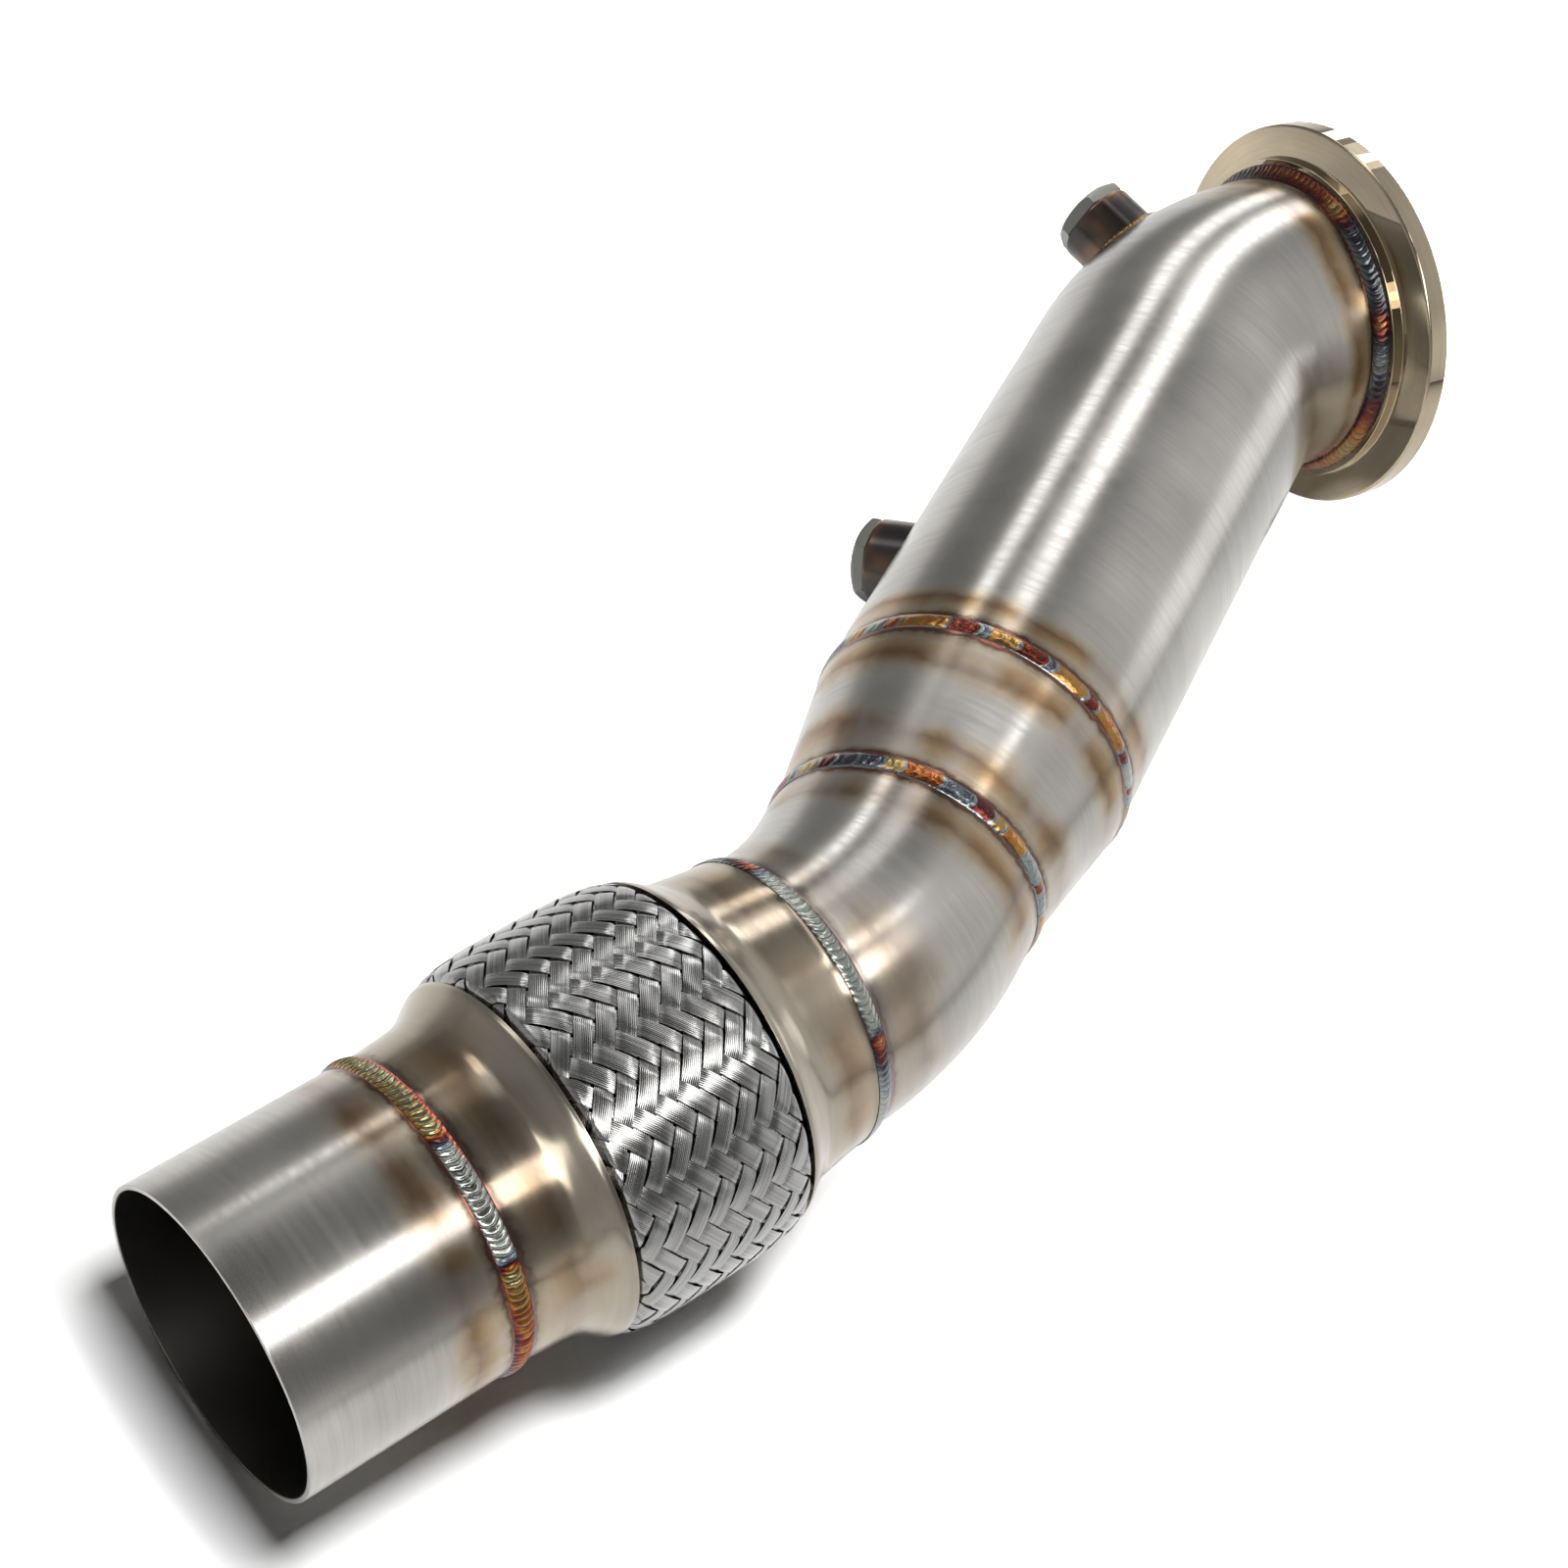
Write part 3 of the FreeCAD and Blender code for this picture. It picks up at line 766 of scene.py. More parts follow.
def scorched_finish(name):
    """Steel that is coppery in some places and blackened in others."""
    material, tree, shader = new_finish(name)
    place = unbent_place(tree)
    cloud = noise(place, 0.06)
    speck = noise(place, 0.9, 2.0, 0.6)
    colour = mixed(tree, cloud.eased_between(0.42, 0.66), (0.06, 0.055, 0.055), (0.2, 0.125, 0.08))
    feed(shader.inputs["Base Color"], colour)
    feed(shader.inputs["Roughness"], 0.16 + speck * 0.1)
    bumped(tree, shader, speck, 0.004)
    return material


def patchwork_finish(name):
    """A flat bead of long cells, each with rings of temper colours and a pale outline."""
    material, tree, shader = new_finish(name, 0.2)
    bead = BEAD_RIPPLES.placed_in(tree, **REDUCER_BEAD)
    inside = attribute(tree, "inside", "Fac")
    wave = noise(bead["place"], 0.45) - 0.5
    fine = noise(bead["place"], 1.3)
    rings = ((inside * 2.4 + wave * 4.0).worked("FRACT") - 0.5) * 0.2
    heat = attribute(tree, "temper", "Fac") + wave * 0.16 + rings
    rim = (inside + wave * 0.3).eased_out(0.1, 0.42)
    colour = mixed(tree, rim, ramp(heat, TEMPER_STOPS), (0.25, 0.29, 0.30))
    edge = (inside + wave * 0.2).eased_between(0.0, 0.14, 0.8, 0.0)
    colour = mixed(tree, edge, colour, (0.05, 0.035, 0.04))
    toe = bead["across"].worked("ABSOLUTE").eased_between(0.93, 1.0, 0.0, 0.75)
    colour = mixed(tree, toe, colour, (0.10, 0.03, 0.03))
    feed(shader.inputs["Base Color"], colour)
    feed(shader.inputs["Roughness"], 0.2 + wave * 0.16)
    bumped(tree, shader, fine * 0.7 + rings * 2.0, 0.06)
    return material


def braid_finish():
    """Ribbons of fine bright wires, with painted shade between the wires."""
    material, tree, shader = new_finish("braid_wire", 0.2)
    wide, far, _ = split(attribute(tree, "lay"))
    ribbon = attribute(tree, "ribbon", "Fac")
    wire = (wide * WIRES).worked("FRACT") - 0.5
    round_wire = (1.0 - wire * wire * 4.0).worked("MAXIMUM", 0.0).worked("SQRT")
    number = (wide * WIRES).worked("FLOOR") + ribbon * 11.0
    chance = by_chance(number)
    steel = mixed(tree, chance, (0.24, 0.238, 0.232), (0.4, 0.398, 0.39))
    # Painted shade: each wire darkens towards the grooves beside it
    groove_shade = round_wire.eased_between(0.0, 0.6, 0.45, 0.0)
    colour = mixed(tree, groove_shade, steel, (0.025, 0.024, 0.022))
    feed(shader.inputs["Base Color"], colour)
    feed(shader.inputs["Roughness"], 0.11 + chance * 0.07)
    along = noise(vector_of(tree, number, far * 60.0, 0.0), 1.0)
    bumped(tree, shader, round_wire + along * 0.1 + chance * 0.3, 0.02)
    return material


def dull_finish(name, colour):
    """Unpolished metal inside the pipe, on a solid of the frame."""
    material, tree, shader = new_finish(name, 0.55)
    place = object_place(tree)
    cloud = noise(place, 60.0, 3.0, 0.6)
    dark = tuple(part * 0.6 for part in colour)
    feed(shader.inputs["Base Color"], mixed(tree, cloud.eased_between(0.3, 0.7), dark, colour))
    bumped(tree, shader, noise(place, 900.0, 2.0, 0.6), 0.03)
    return material


# Tubes

def tube_profile(start, end, radius, wall=WALL):
    return filled_in(eased([
        (start, radius),
        (end, radius),
        (end, radius - wall),
        (start, radius - wall),
    ]))


def make_outlet(finish):
    mesh = swept_mesh("outlet_tube", tube_profile(0, OUTLET_WELD, OUTLET_RADIUS))
    finished("outlet_tube", mesh, finish)


def make_elbow(finish):
    mesh = swept_mesh("lower_elbow", tube_profile(ELBOW_START, LOWER_REDUCER_WELD, ELBOW_RADIUS))
    finished("lower_elbow", mesh, finish)


def make_reducer(finish):
    start = LOWER_REDUCER_WELD
    end = UPPER_REDUCER_WELD
    outer = curve_through([
        (start, ELBOW_RADIUS),
        (start + REDUCER_LAND, ELBOW_RADIUS),
        (start + REDUCER_LAND * 2, ELBOW_RADIUS + REDUCER_EASE),
        (end - REDUCER_LAND * 2, MAIN_RADIUS - REDUCER_EASE),
        (end - REDUCER_LAND, MAIN_RADIUS),
        (end, MAIN_RADIUS),
    ])
    inner = [(run, radius - WALL) for run, radius in reversed(outer)]
    finished("reducer_cone", swept_mesh("reducer_cone", filled_in(outer + inner)), finish)


def bung_station(run, clock):
    """The station at a bung: Z points out of the tube and X up its run."""
    outward = Matrix.Rotation(math.radians(90), 4, "Y")
    return line_at(run) @ clocked(clock) @ outward


def drill_at(run, clock):
    """A rod that reaches from inside the tube out through its wall."""
    form = bmesh.new()
    bmesh.ops.create_cone(
        form, cap_ends=True, segments=64, radius1=BUNG_BORE * MM, radius2=BUNG_BORE * MM,
        depth=DRILL_LENGTH * MM, matrix=bung_station(run, clock) @ straight(BUNG_FLOOR),
    )
    return shown("bung_hole", mesh_from("bung_hole", form))


def make_main_tube(finish):
    """The long tube, with a hole under each bung."""
    mesh = swept_mesh("main_tube", tube_profile(UPPER_REDUCER_WELD, STUB_END, MAIN_RADIUS))
    tube = shown("main_tube.skin", mesh)
    drills = [drill_at(*LOWER_BUNG), drill_at(*UPPER_BUNG)]
    for drill in drills:
        hole = tube.modifiers.new("bung_hole", "BOOLEAN")
        hole.operation = "DIFFERENCE"
        hole.solver = "EXACT"
        hole.object = drill
    settled = plain_mesh(tube)
    keep_nearest(mesh, settled, "unbent")
    for spent in [tube] + drills:
        bpy.data.objects.remove(spent)
    finished("main_tube", settled, finish)


def keep_nearest(before, after, name):
    """Gives each point of a cut mesh the vector of the nearest point before the cut."""
    old = before.attributes[name].data
    tree = KDTree(len(before.vertices))
    for vertex in before.vertices:
        tree.insert(vertex.co, vertex.index)
    tree.balance()
    if name in after.attributes:
        after.attributes.remove(after.attributes[name])
    named_vectors(after, name, [old[tree.find(vertex.co)[1]].vector for vertex in after.vertices])


def plain_mesh(piece):
    """The piece's mesh with its modifiers worked in."""
    bpy.context.view_layer.update()
    depsgraph = bpy.context.evaluated_depsgraph_get()
    return bpy.data.meshes.new_from_object(piece.evaluated_get(depsgraph))


# Flex section

def collar_outline(end_radius):
    """Outer face of an end collar, from the end of its neck to its lip."""
    neck = [(0, end_radius), (COLLAR_LAND, end_radius)]
    return curve_through(neck + COLLAR_FLARE + [(COLLAR_LENGTH, LIP_RADIUS)])


def collar_profile(end_radius):
    """The collar's wall, as (height above the neck's end, radius) points."""
    outer = collar_outline(end_radius)
    inner = []
    for index in range(len(outer)):
        here = Vector(outer[index])
        before = Vector(outer[max(index - 1, 0)])
        after = Vector(outer[min(index + 1, len(outer) - 1)])
        along = (after - before).normalized()
        inside = here + Vector((along.y, -along.x)) * COLLAR_WALL
        height = min(max(inside.x, 0.0), COLLAR_LENGTH)
        inner.append((height, max(inside.y, NECK_BORE)))
    return filled_in(eased(outer + inner[::-1], COLLAR_EASE))


def make_collars(lower_finish, upper_finish):
    lower = [(OUTLET_WELD + height, radius) for height, radius in collar_profile(OUTLET_RADIUS)]
    upper = [(SLIP_WELD - height, radius) for height, radius in collar_profile(NECK_RADIUS)]
    mesh = swept_mesh("flex_lower_collar", lower)
    finished("flex_lower_collar", mesh, lower_finish)
    mesh = swept_mesh("flex_upper_collar", upper[::-1])
    finished("flex_upper_collar", mesh, upper_finish)


# Node trees that make meshes

def mesh_tree(name, inputs):
    """A Geometry Nodes tree, its named inputs and its output node."""
    tree = bpy.data.node_groups.new(name, "GeometryNodeTree")
    for label, kind in [("Geometry", "Geometry")] + inputs + [("Finish", "Material")]:
        tree.interface.new_socket(label, in_out="INPUT", socket_type="NodeSocket" + kind)
    tree.interface.new_socket("Geometry", in_out="OUTPUT", socket_type="NodeSocketGeometry")
    entry = tree.nodes.new("NodeGroupInput")
    given = {socket.name: Reading(tree, socket) for socket in entry.outputs if socket.name}
    return tree, given, tree.nodes.new("NodeGroupOutput")


def chained(geometry, kind, **settings):
    """Adds a node that takes geometry in. Returns it and the geometry that it puts out."""
    node = geometry.tree.nodes.new("GeometryNode" + kind)
    for label, value in settings.items():
        setattr(node, label, value)
    feed(node.inputs[0], geometry)
    return node, Reading(geometry.tree, node.outputs[0])


def stored(geometry, name, value, kind, domain):
    """Keeps a value on the geometry under a name."""
    store, geometry = chained(geometry, "StoreNamedAttribute", data_type=kind, domain=domain)
    store.inputs["Name"].default_value = name
    feed(store.inputs["Value"], value)
    return geometry


def field(tree, name, kind="FLOAT"):
    node = tree.nodes.new("GeometryNodeInputNamedAttribute")
    node.data_type = kind
    node.inputs["Name"].default_value = name
    return Reading(tree, node.outputs["Attribute"])


def closed_off(geometry, given, outcome):
    """Ends a tree: real faces, then the finish."""
    _, geometry = chained(geometry, "RealizeInstances")
    finish, geometry = chained(geometry, "SetMaterial")
    feed(finish.inputs["Material"], given["Finish"])
    feed(outcome.inputs["Geometry"], geometry)


def ribbon_copies(tree, given):
    """Flat strips, one for each ribbon, that know their number and their own lay."""
    strip = tree.nodes.new("GeometryNodeMeshCube")
    strip.inputs["Vertices X"].default_value = 6
    feed(strip.inputs["Vertices Y"], given["Samples"])
    strip.inputs["Vertices Z"].default_value = 2
    position = tree.nodes.new("GeometryNodeInputPosition")
    geometry = Reading(tree, strip.outputs["Mesh"])
    lay = Reading(tree, position.outputs[0])
    geometry = stored(geometry, "lay", lay, "FLOAT_VECTOR", "POINT")
    _, geometry = chained(geometry, "GeometryToInstance")
    copies, geometry = chained(geometry, "DuplicateElements", domain="INSTANCE")
    feed(copies.inputs["Amount"], given["Ribbons"])
    number = Reading(tree, copies.outputs["Duplicate Index"])
    geometry = stored(geometry, "ribbon", number, "FLOAT", "INSTANCE")
    return chained(geometry, "RealizeInstances")[1]


def weave_tree():
    """Ribbons that wind round a barrel, two over and two under the others."""
    tree, given, outcome = mesh_tree("braid_ribbons", [
        ("Ribbons", "Int"), ("Start Clock", "Float"), ("Turning", "Float"), ("Over", "Float"),
        ("Length", "Float"), ("Tuck", "Float"), ("Radius", "Float"), ("End Drop", "Float"),
        ("Ribbon Share", "Float"), ("Thickness", "Float"), ("Rise", "Float"), ("Crown", "Float"),
        ("Samples", "Int"),
    ])
    geometry = ribbon_copies(tree, given)
    ribbon = field(tree, "ribbon")
    wide, far, deep = split(field(tree, "lay", "FLOAT_VECTOR"))
    pitch = given["Ribbons"].worked("POWER", -1.0) * 360.0
    place = (far + 0.5) * (given["Length"] + given["Tuck"] * 2.0) - given["Tuck"]
    own = ribbon + wide * given["Ribbon Share"]
    turned = given["Turning"] * place
    clock = given["Start Clock"] + own * pitch + turned
    other = own + turned * 2.0 / pitch
    crossing = ((ribbon + other - 0.5) * (math.pi / 2)).worked("COSINE")
    level = crossing.eased_between(-0.5, 0.5, -1.0, 1.0) * given["Over"]
    arch = (crossing * given["Over"] - 1.0) * RIBBON_ARCH
    share = (place / given["Length"]) * 2.0 - 1.0
    barrel = given["Radius"] - given["End Drop"] * share.worked("ABSOLUTE").worked("POWER", 4.0)
    margin = place.worked("MINIMUM", given["Length"] - place)
    dive = margin.eased_between(*TUCK_REACH, 0.0, TUCK_DEPTH)
    under = margin.worked("MINIMUM", 0.0) * TUCK_SLOPE
    crown = wide * wide * 4.0 * given["Crown"]
    radius = barrel - dive + under - crown + (deep - 0.5) * given["Thickness"]
    radius = radius - given["Rise"] * (1.0 - level) * 0.5 - RIBBON_ARCH + arch
    turn = clock * math.radians(1)
    x = radius * turn.worked("COSINE") * MM
    y = radius * turn.worked("SINE") * MM
    move, geometry = chained(geometry, "SetPosition")
    feed(move.inputs["Position"], vector_of(tree, x, y, place * MM))
    closed_off(geometry, given, outcome)
    return tree


def ripple_tree():
    """Raises a bead's band into a stack of bowed ripples."""
    tree, given, outcome = mesh_tree("weld_ripples", [
        ("Ripples", "Float"), ("Depth", "Float"), ("Bow", "Float"), ("Wander", "Float"),
        ("Unevenness", "Float"),
    ])
    place = stretched(field(tree, "unbent", "FLOAT_VECTOR"), MM_IN_METRE)
    across = field(tree, "across")
    phase = ripple_phase(place, across, given["Ripples"], given["Bow"], given["Wander"])
    step = phase.worked("FRACT")
    crest = step.eased_between(0.0, 0.65) * step.eased_out(0.72, 1.0)
    lumps = noise(place, 0.4) * given["Unevenness"]
    inside = (1.0 - across * across).worked("MAXIMUM", 0.0)
    height = (crest * given["Depth"] - lumps) * inside.worked("POWER", 0.6) * MM
    outward = tree.nodes.new("ShaderNodeVectorMath")
    outward.operation = "SCALE"
    feed(outward.inputs[0], field(tree, "outward", "FLOAT_VECTOR"))
    feed(outward.inputs["Scale"], height)
    move, geometry = chained(given["Geometry"], "SetPosition")
    feed(move.inputs["Offset"], Reading(tree, outward.outputs[0]))
    closed_off(geometry, given, outcome)
    return tree


def grown(name, mesh, tree, values):
    """Runs a mesh through a tree with the named inputs set. Returns the result."""
    piece = shown(name, mesh)
    modifier = piece.modifiers.new(name, "NODES")
    modifier.node_group = tree
    for item in tree.interface.items_tree:
        if item.in_out == "INPUT" and item.name in values:
            modifier[item.identifier] = values[item.name]
    result = plain_mesh(piece)
    bpy.data.objects.remove(piece)
    return result


def make_braid(finish):
    """The same number of ribbons each way round the flex section."""
    tree = weave_tree()
    for part, turning, over in (("rising", RIBBON_TURNING, -1.0), ("falling", -RIBBON_TURNING, 1.0)):
        mesh = grown("flex_braid." + part, bpy.data.meshes.new("ribbon"), tree, {
            "Ribbons": RIBBONS, "Start Clock": RIBBON_START, "Turning": turning, "Over": over,
            "Length": BRAID_LENGTH, "Tuck": BRAID_TUCK, "Radius": BRAID_RADIUS,
            "End Drop": BRAID_END_DROP, "Ribbon Share": RIBBON_SHARE,
            "Thickness": RIBBON_THICKNESS, "Rise": RIBBON_RISE, "Crown": RIBBON_CROWN,
            "Samples": RIBBON_SAMPLES, "Finish": finish,
        })
        mesh.transform(line_at(LOWER_RIM))
        finished("flex_braid", mesh, finish, part, 50)


# Weld beads

def band_mesh(name, section, sides):
    """A bead's band from a closed section of (run, radius, across) rows."""
    mesh = swept_mesh(name, [(run, radius) for run, radius, _ in section], sides)
    acrosses = []
    outward = []
    for run, _, across in section:
        turn_only = line_at(run).to_3x3()
        for side in range(sides):
            turn = 2 * math.pi * side / sides
            acrosses.append(across)
            outward.append(turn_only @ Vector((math.cos(turn), math.sin(turn), 0)))
    named_numbers(mesh, "across", acrosses)
    named_vectors(mesh, "outward", outward)
    return mesh


def name_cells(mesh, cells):
    """Gives each point the heat of its cell and how far inside the cell it is.

    Each cell is (clock angle at which it starts, heat), and they follow round.
    """
    starts = [clock for clock, _ in cells] + [cells[0][0] + 360]
    heats = []
    insides = []
    lies = zip(mesh.attributes["unbent"].data, mesh.attributes["across"].data)
    for unbent, across in lies:
        x, y, _ = unbent.vector
        clock = math.degrees(math.atan2(y, x)) - CELL_BOW * (1 - across.value ** 2)
        clock = (clock - starts[0]) % 360 + starts[0]
        index = sum(clock >= start for start in starts) - 1
        nearest = min(clock - starts[index], starts[index + 1] - clock)
        degree = math.hypot(x, y) / MM * math.radians(1)
        side = (1 - abs(across.value)) * BEAD_TOE
        heats.append(cells[index][1])
        insides.append(min(nearest * degree, side) / CELL_RIM)
    named_numbers(mesh, "temper", heats)
    named_numbers(mesh, "inside", insides)


def butt_section(run, radius, lowered):
    """A low rounded cap on two tubes of one radius, lowered to leave room for its ripples."""
    section = []
    for step in range(BEAD_STEPS + 1):
        across = step / BEAD_STEPS * 2 - 1
        lift = (BEAD_HEIGHT - lowered) * (1 - across ** 2) ** 0.7
        section.append((run + across * BEAD_TOE, radius + lift, across))
    section.append((run + BEAD_TOE, radius - BEAD_ROOT, 1.0))
    section.append((run - BEAD_TOE, radius - BEAD_ROOT, -1.0))
    return section


def corner_section(start, end):
    """A slightly bulged fillet between two (run, radius) points."""
    first = Vector(start)
    last = Vector(end)
    side = Vector((first.y - last.y, last.x - first.x)).normalized()
    section = []
    for step in range(BEAD_STEPS + 1):
        across = step / BEAD_STEPS * 2 - 1
        point = first.lerp(last, step / BEAD_STEPS) + side * CORNER_BULGE * (1 - across ** 2) ** 0.8
        section.append((point.x, point.y, across))
    under = (first + last) / 2 - side * CORNER_ROOT
    section.append((under.x, under.y, 1.0))
    return section


def ripple_values(form, depth, lumps, finish):
    """What the ripple tree needs: a bead's form, its ripples' depth, its lumps, its finish."""
    return {
        "Ripples": form["ripples"], "Bow": form["bow"], "Wander": form["wander"],
        "Depth": depth, "Unevenness": lumps, "Finish": finish,
    }


def make_bead(node, section, tree, finish, form, depth, lumps=BEAD_LUMPS, cells=()):
    band = band_mesh(node, section, int(form["ripples"]) * SIDES_PER_RIPPLE)
    if cells:
        name_cells(band, cells)
    mesh = grown(node, band, tree, ripple_values(form, depth, lumps, finish))
    finished(node, mesh, finish, sharp=60)


# Flange

def make_flange(finish):
    outline = [
        (FLANGE_START, HUB_RADIUS),
        (FLANGE_TAPER, HUB_RADIUS),
        (FLANGE_RIM, RIM_RADIUS - RIM_EDGE),
        (FLANGE_RIM + RIM_CORNER, RIM_RADIUS),
        (FLANGE_FACE - RIM_EDGE, RIM_RADIUS),
        (FLANGE_FACE, RIM_RADIUS - RIM_EDGE),
        (FLANGE_FACE, SEAT_RADIUS),
        (FLANGE_SEAT, SEAT_RADIUS),
        (FLANGE_SEAT, FLANGE_BORE),
        (FLANGE_SOCKET, FLANGE_BORE),
        (FLANGE_SOCKET, SOCKET_RADIUS),
        (FLANGE_START, SOCKET_RADIUS),
    ]
    outline = [(MAIN_BEND_END + height, radius) for height, radius in outline]
    mesh = swept_mesh("v_band_flange", filled_in(eased(outline, FLANGE_EASE)), FLANGE_SIDES)
    finished("v_band_flange", mesh, finish)


# Bungs and plugs

def polar_mesh(name, station, rings, sides, closed=True):
    """Rings round a station's axis, joined in turn: each ring gives (x, y, z) by turn."""
    local = []
    for ring in rings:
        for side in range(sides):
            local.append(Vector(ring(2 * math.pi * side / sides)) * MM)
    faces = grid_faces(len(rings), sides, closed)
    if not closed:
        faces.append(tuple(reversed(range(sides))))
        faces.append(tuple(range((len(rings) - 1) * sides, len(rings) * sides)))
    mesh = bpy.data.meshes.new(name)
    mesh.from_pydata([station @ point for point in local], [], faces)
    named_vectors(mesh, "unbent", local)
    return mesh


def level_ring(radius, height):
    return lambda turn: (radius * math.cos(turn), radius * math.sin(turn), height)


def saddle_ring(radius, lift, bend, tube):
    """A ring that follows a tube's face, or a layer of its wall, round a bung's axis."""
    def ring(turn):
        x = radius * math.cos(turn)
        y = radius * math.sin(turn)
        return x, y, math.sqrt(tube ** 2 - y ** 2) - bend * x ** 2 + lift
    return ring


def make_bung(node, station, bend, finish):
    mid_wall = MAIN_RADIUS - WALL / 2
    sides_end = BUNG_TOP - BUNG_EDGE
    rings = [saddle_ring(BUNG_RADIUS, 0, bend, mid_wall)]
    rings += [level_ring(BUNG_RADIUS, height) for height in BUNG_SIDE_HEIGHTS]
    rings += [
        level_ring(BUNG_RADIUS, sides_end - 0.4),
        level_ring(BUNG_RADIUS, sides_end),
        level_ring(BUNG_RADIUS - 0.2, BUNG_TOP - 0.3),
        level_ring(BUNG_RADIUS - 0.7, BUNG_TOP),
        level_ring(BUNG_BORE + 0.4, BUNG_TOP),
        level_ring(BUNG_BORE, BUNG_TOP - 0.4),
        level_ring(BUNG_BORE, BUNG_FLOOR),
        saddle_ring(BUNG_BORE, 0, bend, mid_wall),
    ]
    finished(node, polar_mesh(node, station, rings, BUNG_SIDES), finish)


def hexagon_radius(turn):
    """How far a hexagon's edge is from its centre, by turn."""
    sixth = math.pi / 3
    slice_turn = (turn + sixth / 2) % sixth - sixth / 2
    return PLUG_FLATS / 2 / math.cos(sixth / 2 - abs(slice_turn))


def hexagon_ring(inset, height_at):
    def ring(turn):
        radius = hexagon_radius(turn) - inset
        return radius * math.cos(turn), radius * math.sin(turn), height_at(radius)
    return ring


def chamfer(radius):
    """How high the chamfered top of a plug is, by distance from its axis."""
    return PLUG_TOP - max(0.0, radius - PLUG_CHAMFER_RADIUS) * PLUG_CHAMFER_SLOPE


def make_plug(node, station, finish):
    rings = [
        level_ring(AXIS_HOLE, PLUG_END),
        level_ring(PLUG_SHANK - 0.6, PLUG_END),
        level_ring(PLUG_SHANK, PLUG_END + 0.6),
        level_ring(PLUG_SHANK, BUNG_TOP),
        hexagon_ring(0.25, lambda radius: BUNG_TOP + 0.02),
        hexagon_ring(0.0, lambda radius: BUNG_TOP + 0.3),
        hexagon_ring(0.0, lambda radius: chamfer(radius) - 0.9),
        hexagon_ring(0.0, lambda radius: chamfer(radius) - 0.25),
        hexagon_ring(0.14, chamfer),
        level_ring(PLUG_CHAMFER_RADIUS, PLUG_TOP),
        level_ring(PLUG_CHAMFER_RADIUS - 0.4, PLUG_TOP),
        level_ring(PLUG_INNER_RADIUS, PLUG_TOP),
        level_ring(AXIS_HOLE, PLUG_TOP),
    ]
    mesh = polar_mesh(node, station, rings, BUNG_SIDES, closed=False)
    finished(node, mesh, finish)


def make_bung_weld(node, station, bend, tree, finish):
    """A rounded fillet in the corner between a bung and the tube."""
    rings = []
    acrosses = []
    for step in range(BUNG_WELD_STEPS + 1):
        quarter = math.pi / 2 * step / BUNG_WELD_STEPS
        radius = BUNG_RADIUS + BUNG_WELD_WIDTH * math.sin(quarter)
        lift = BUNG_WELD_HEIGHT * math.cos(quarter)
        rings.append(saddle_ring(radius, lift, bend, MAIN_RADIUS))
        acrosses.append(step / BUNG_WELD_STEPS * 2 - 1)
    for radius, across in ((BUNG_RADIUS + BUNG_WELD_WIDTH, 1.0), (BUNG_RADIUS - BUNG_WELD_ROOT, -1.0)):
        rings.append(saddle_ring(radius, -BUNG_WELD_ROOT, bend, MAIN_RADIUS))
        acrosses.append(across)
    mesh = polar_mesh(node, station, rings[::-1], BUNG_WELD_SIDES)
    acrosses = [across for across in acrosses[::-1] for _ in range(BUNG_WELD_SIDES)]
    named_numbers(mesh, "across", acrosses)
    outward = []
    for entry in mesh.attributes["unbent"].data:
        flat_out = Vector((entry.vector.x, entry.vector.y, 0)).normalized()
        outward.append(station.to_3x3() @ (flat_out + Vector((0, 0, 1))).normalized())
    named_vectors(mesh, "outward", outward)
    form = bmesh.new()
    form.from_mesh(grown(node, mesh, tree, ripple_values(BUNG_BEAD, BUNG_RIPPLE, BEAD_LUMPS, finish)))
    bmesh.ops.recalc_face_normals(form, faces=form.faces)
    finished(node, mesh_from(node, form), finish, sharp=60)


def make_plugged_bung(label, where, bend, finishes, tree):
    """A bung, its plug and its bead. bend is how fast the tube falls away along its run."""
    bung_finish, plug_finish, bead = finishes
    station = bung_station(*where)
    make_bung(label + "_sensor_bung", station, bend, bung_finish)
    make_plug(label + "_sensor_plug", station, plug_finish)
    make_bung_weld(label + "_bung_weld", station, bend, tree, bead)


# The pieces

def make_tubes():
    """The outlet, the elbow, the reducer and the main tube, each tinted beside its welds."""
    make_outlet(tube_finish("outlet_steel", TUBE_STEEL, [
        (OUTLET_WELD - BEAD_TOE, -1, 20.0, 1.0),
    ], bore=OUTLET_RADIUS - WALL))
    make_elbow(tube_finish("elbow_steel", TUBE_STEEL, [
        (SLIP_WELD + 4.2, 1, 17.0, 0.6),
        (LOWER_REDUCER_WELD - BEAD_TOE, -1, 17.0, 1.0),
    ], bore=ELBOW_RADIUS - WALL))
    make_reducer(tube_finish("reducer_steel", TUBE_STEEL, [
        (LOWER_REDUCER_WELD + BEAD_TOE, 1, 18.0, 1.0),
        (UPPER_REDUCER_WELD - BEAD_TOE, -1, 18.0, 1.0),
    ]))
    make_main_tube(tube_finish("main_tube_steel", TUBE_STEEL, [
        (UPPER_REDUCER_WELD + BEAD_TOE, 1, 16.0, 1.0),
        (MAIN_BEND_END + 0.1, -1, 20.0, 1.0),
    ], bore=MAIN_RADIUS - WALL))


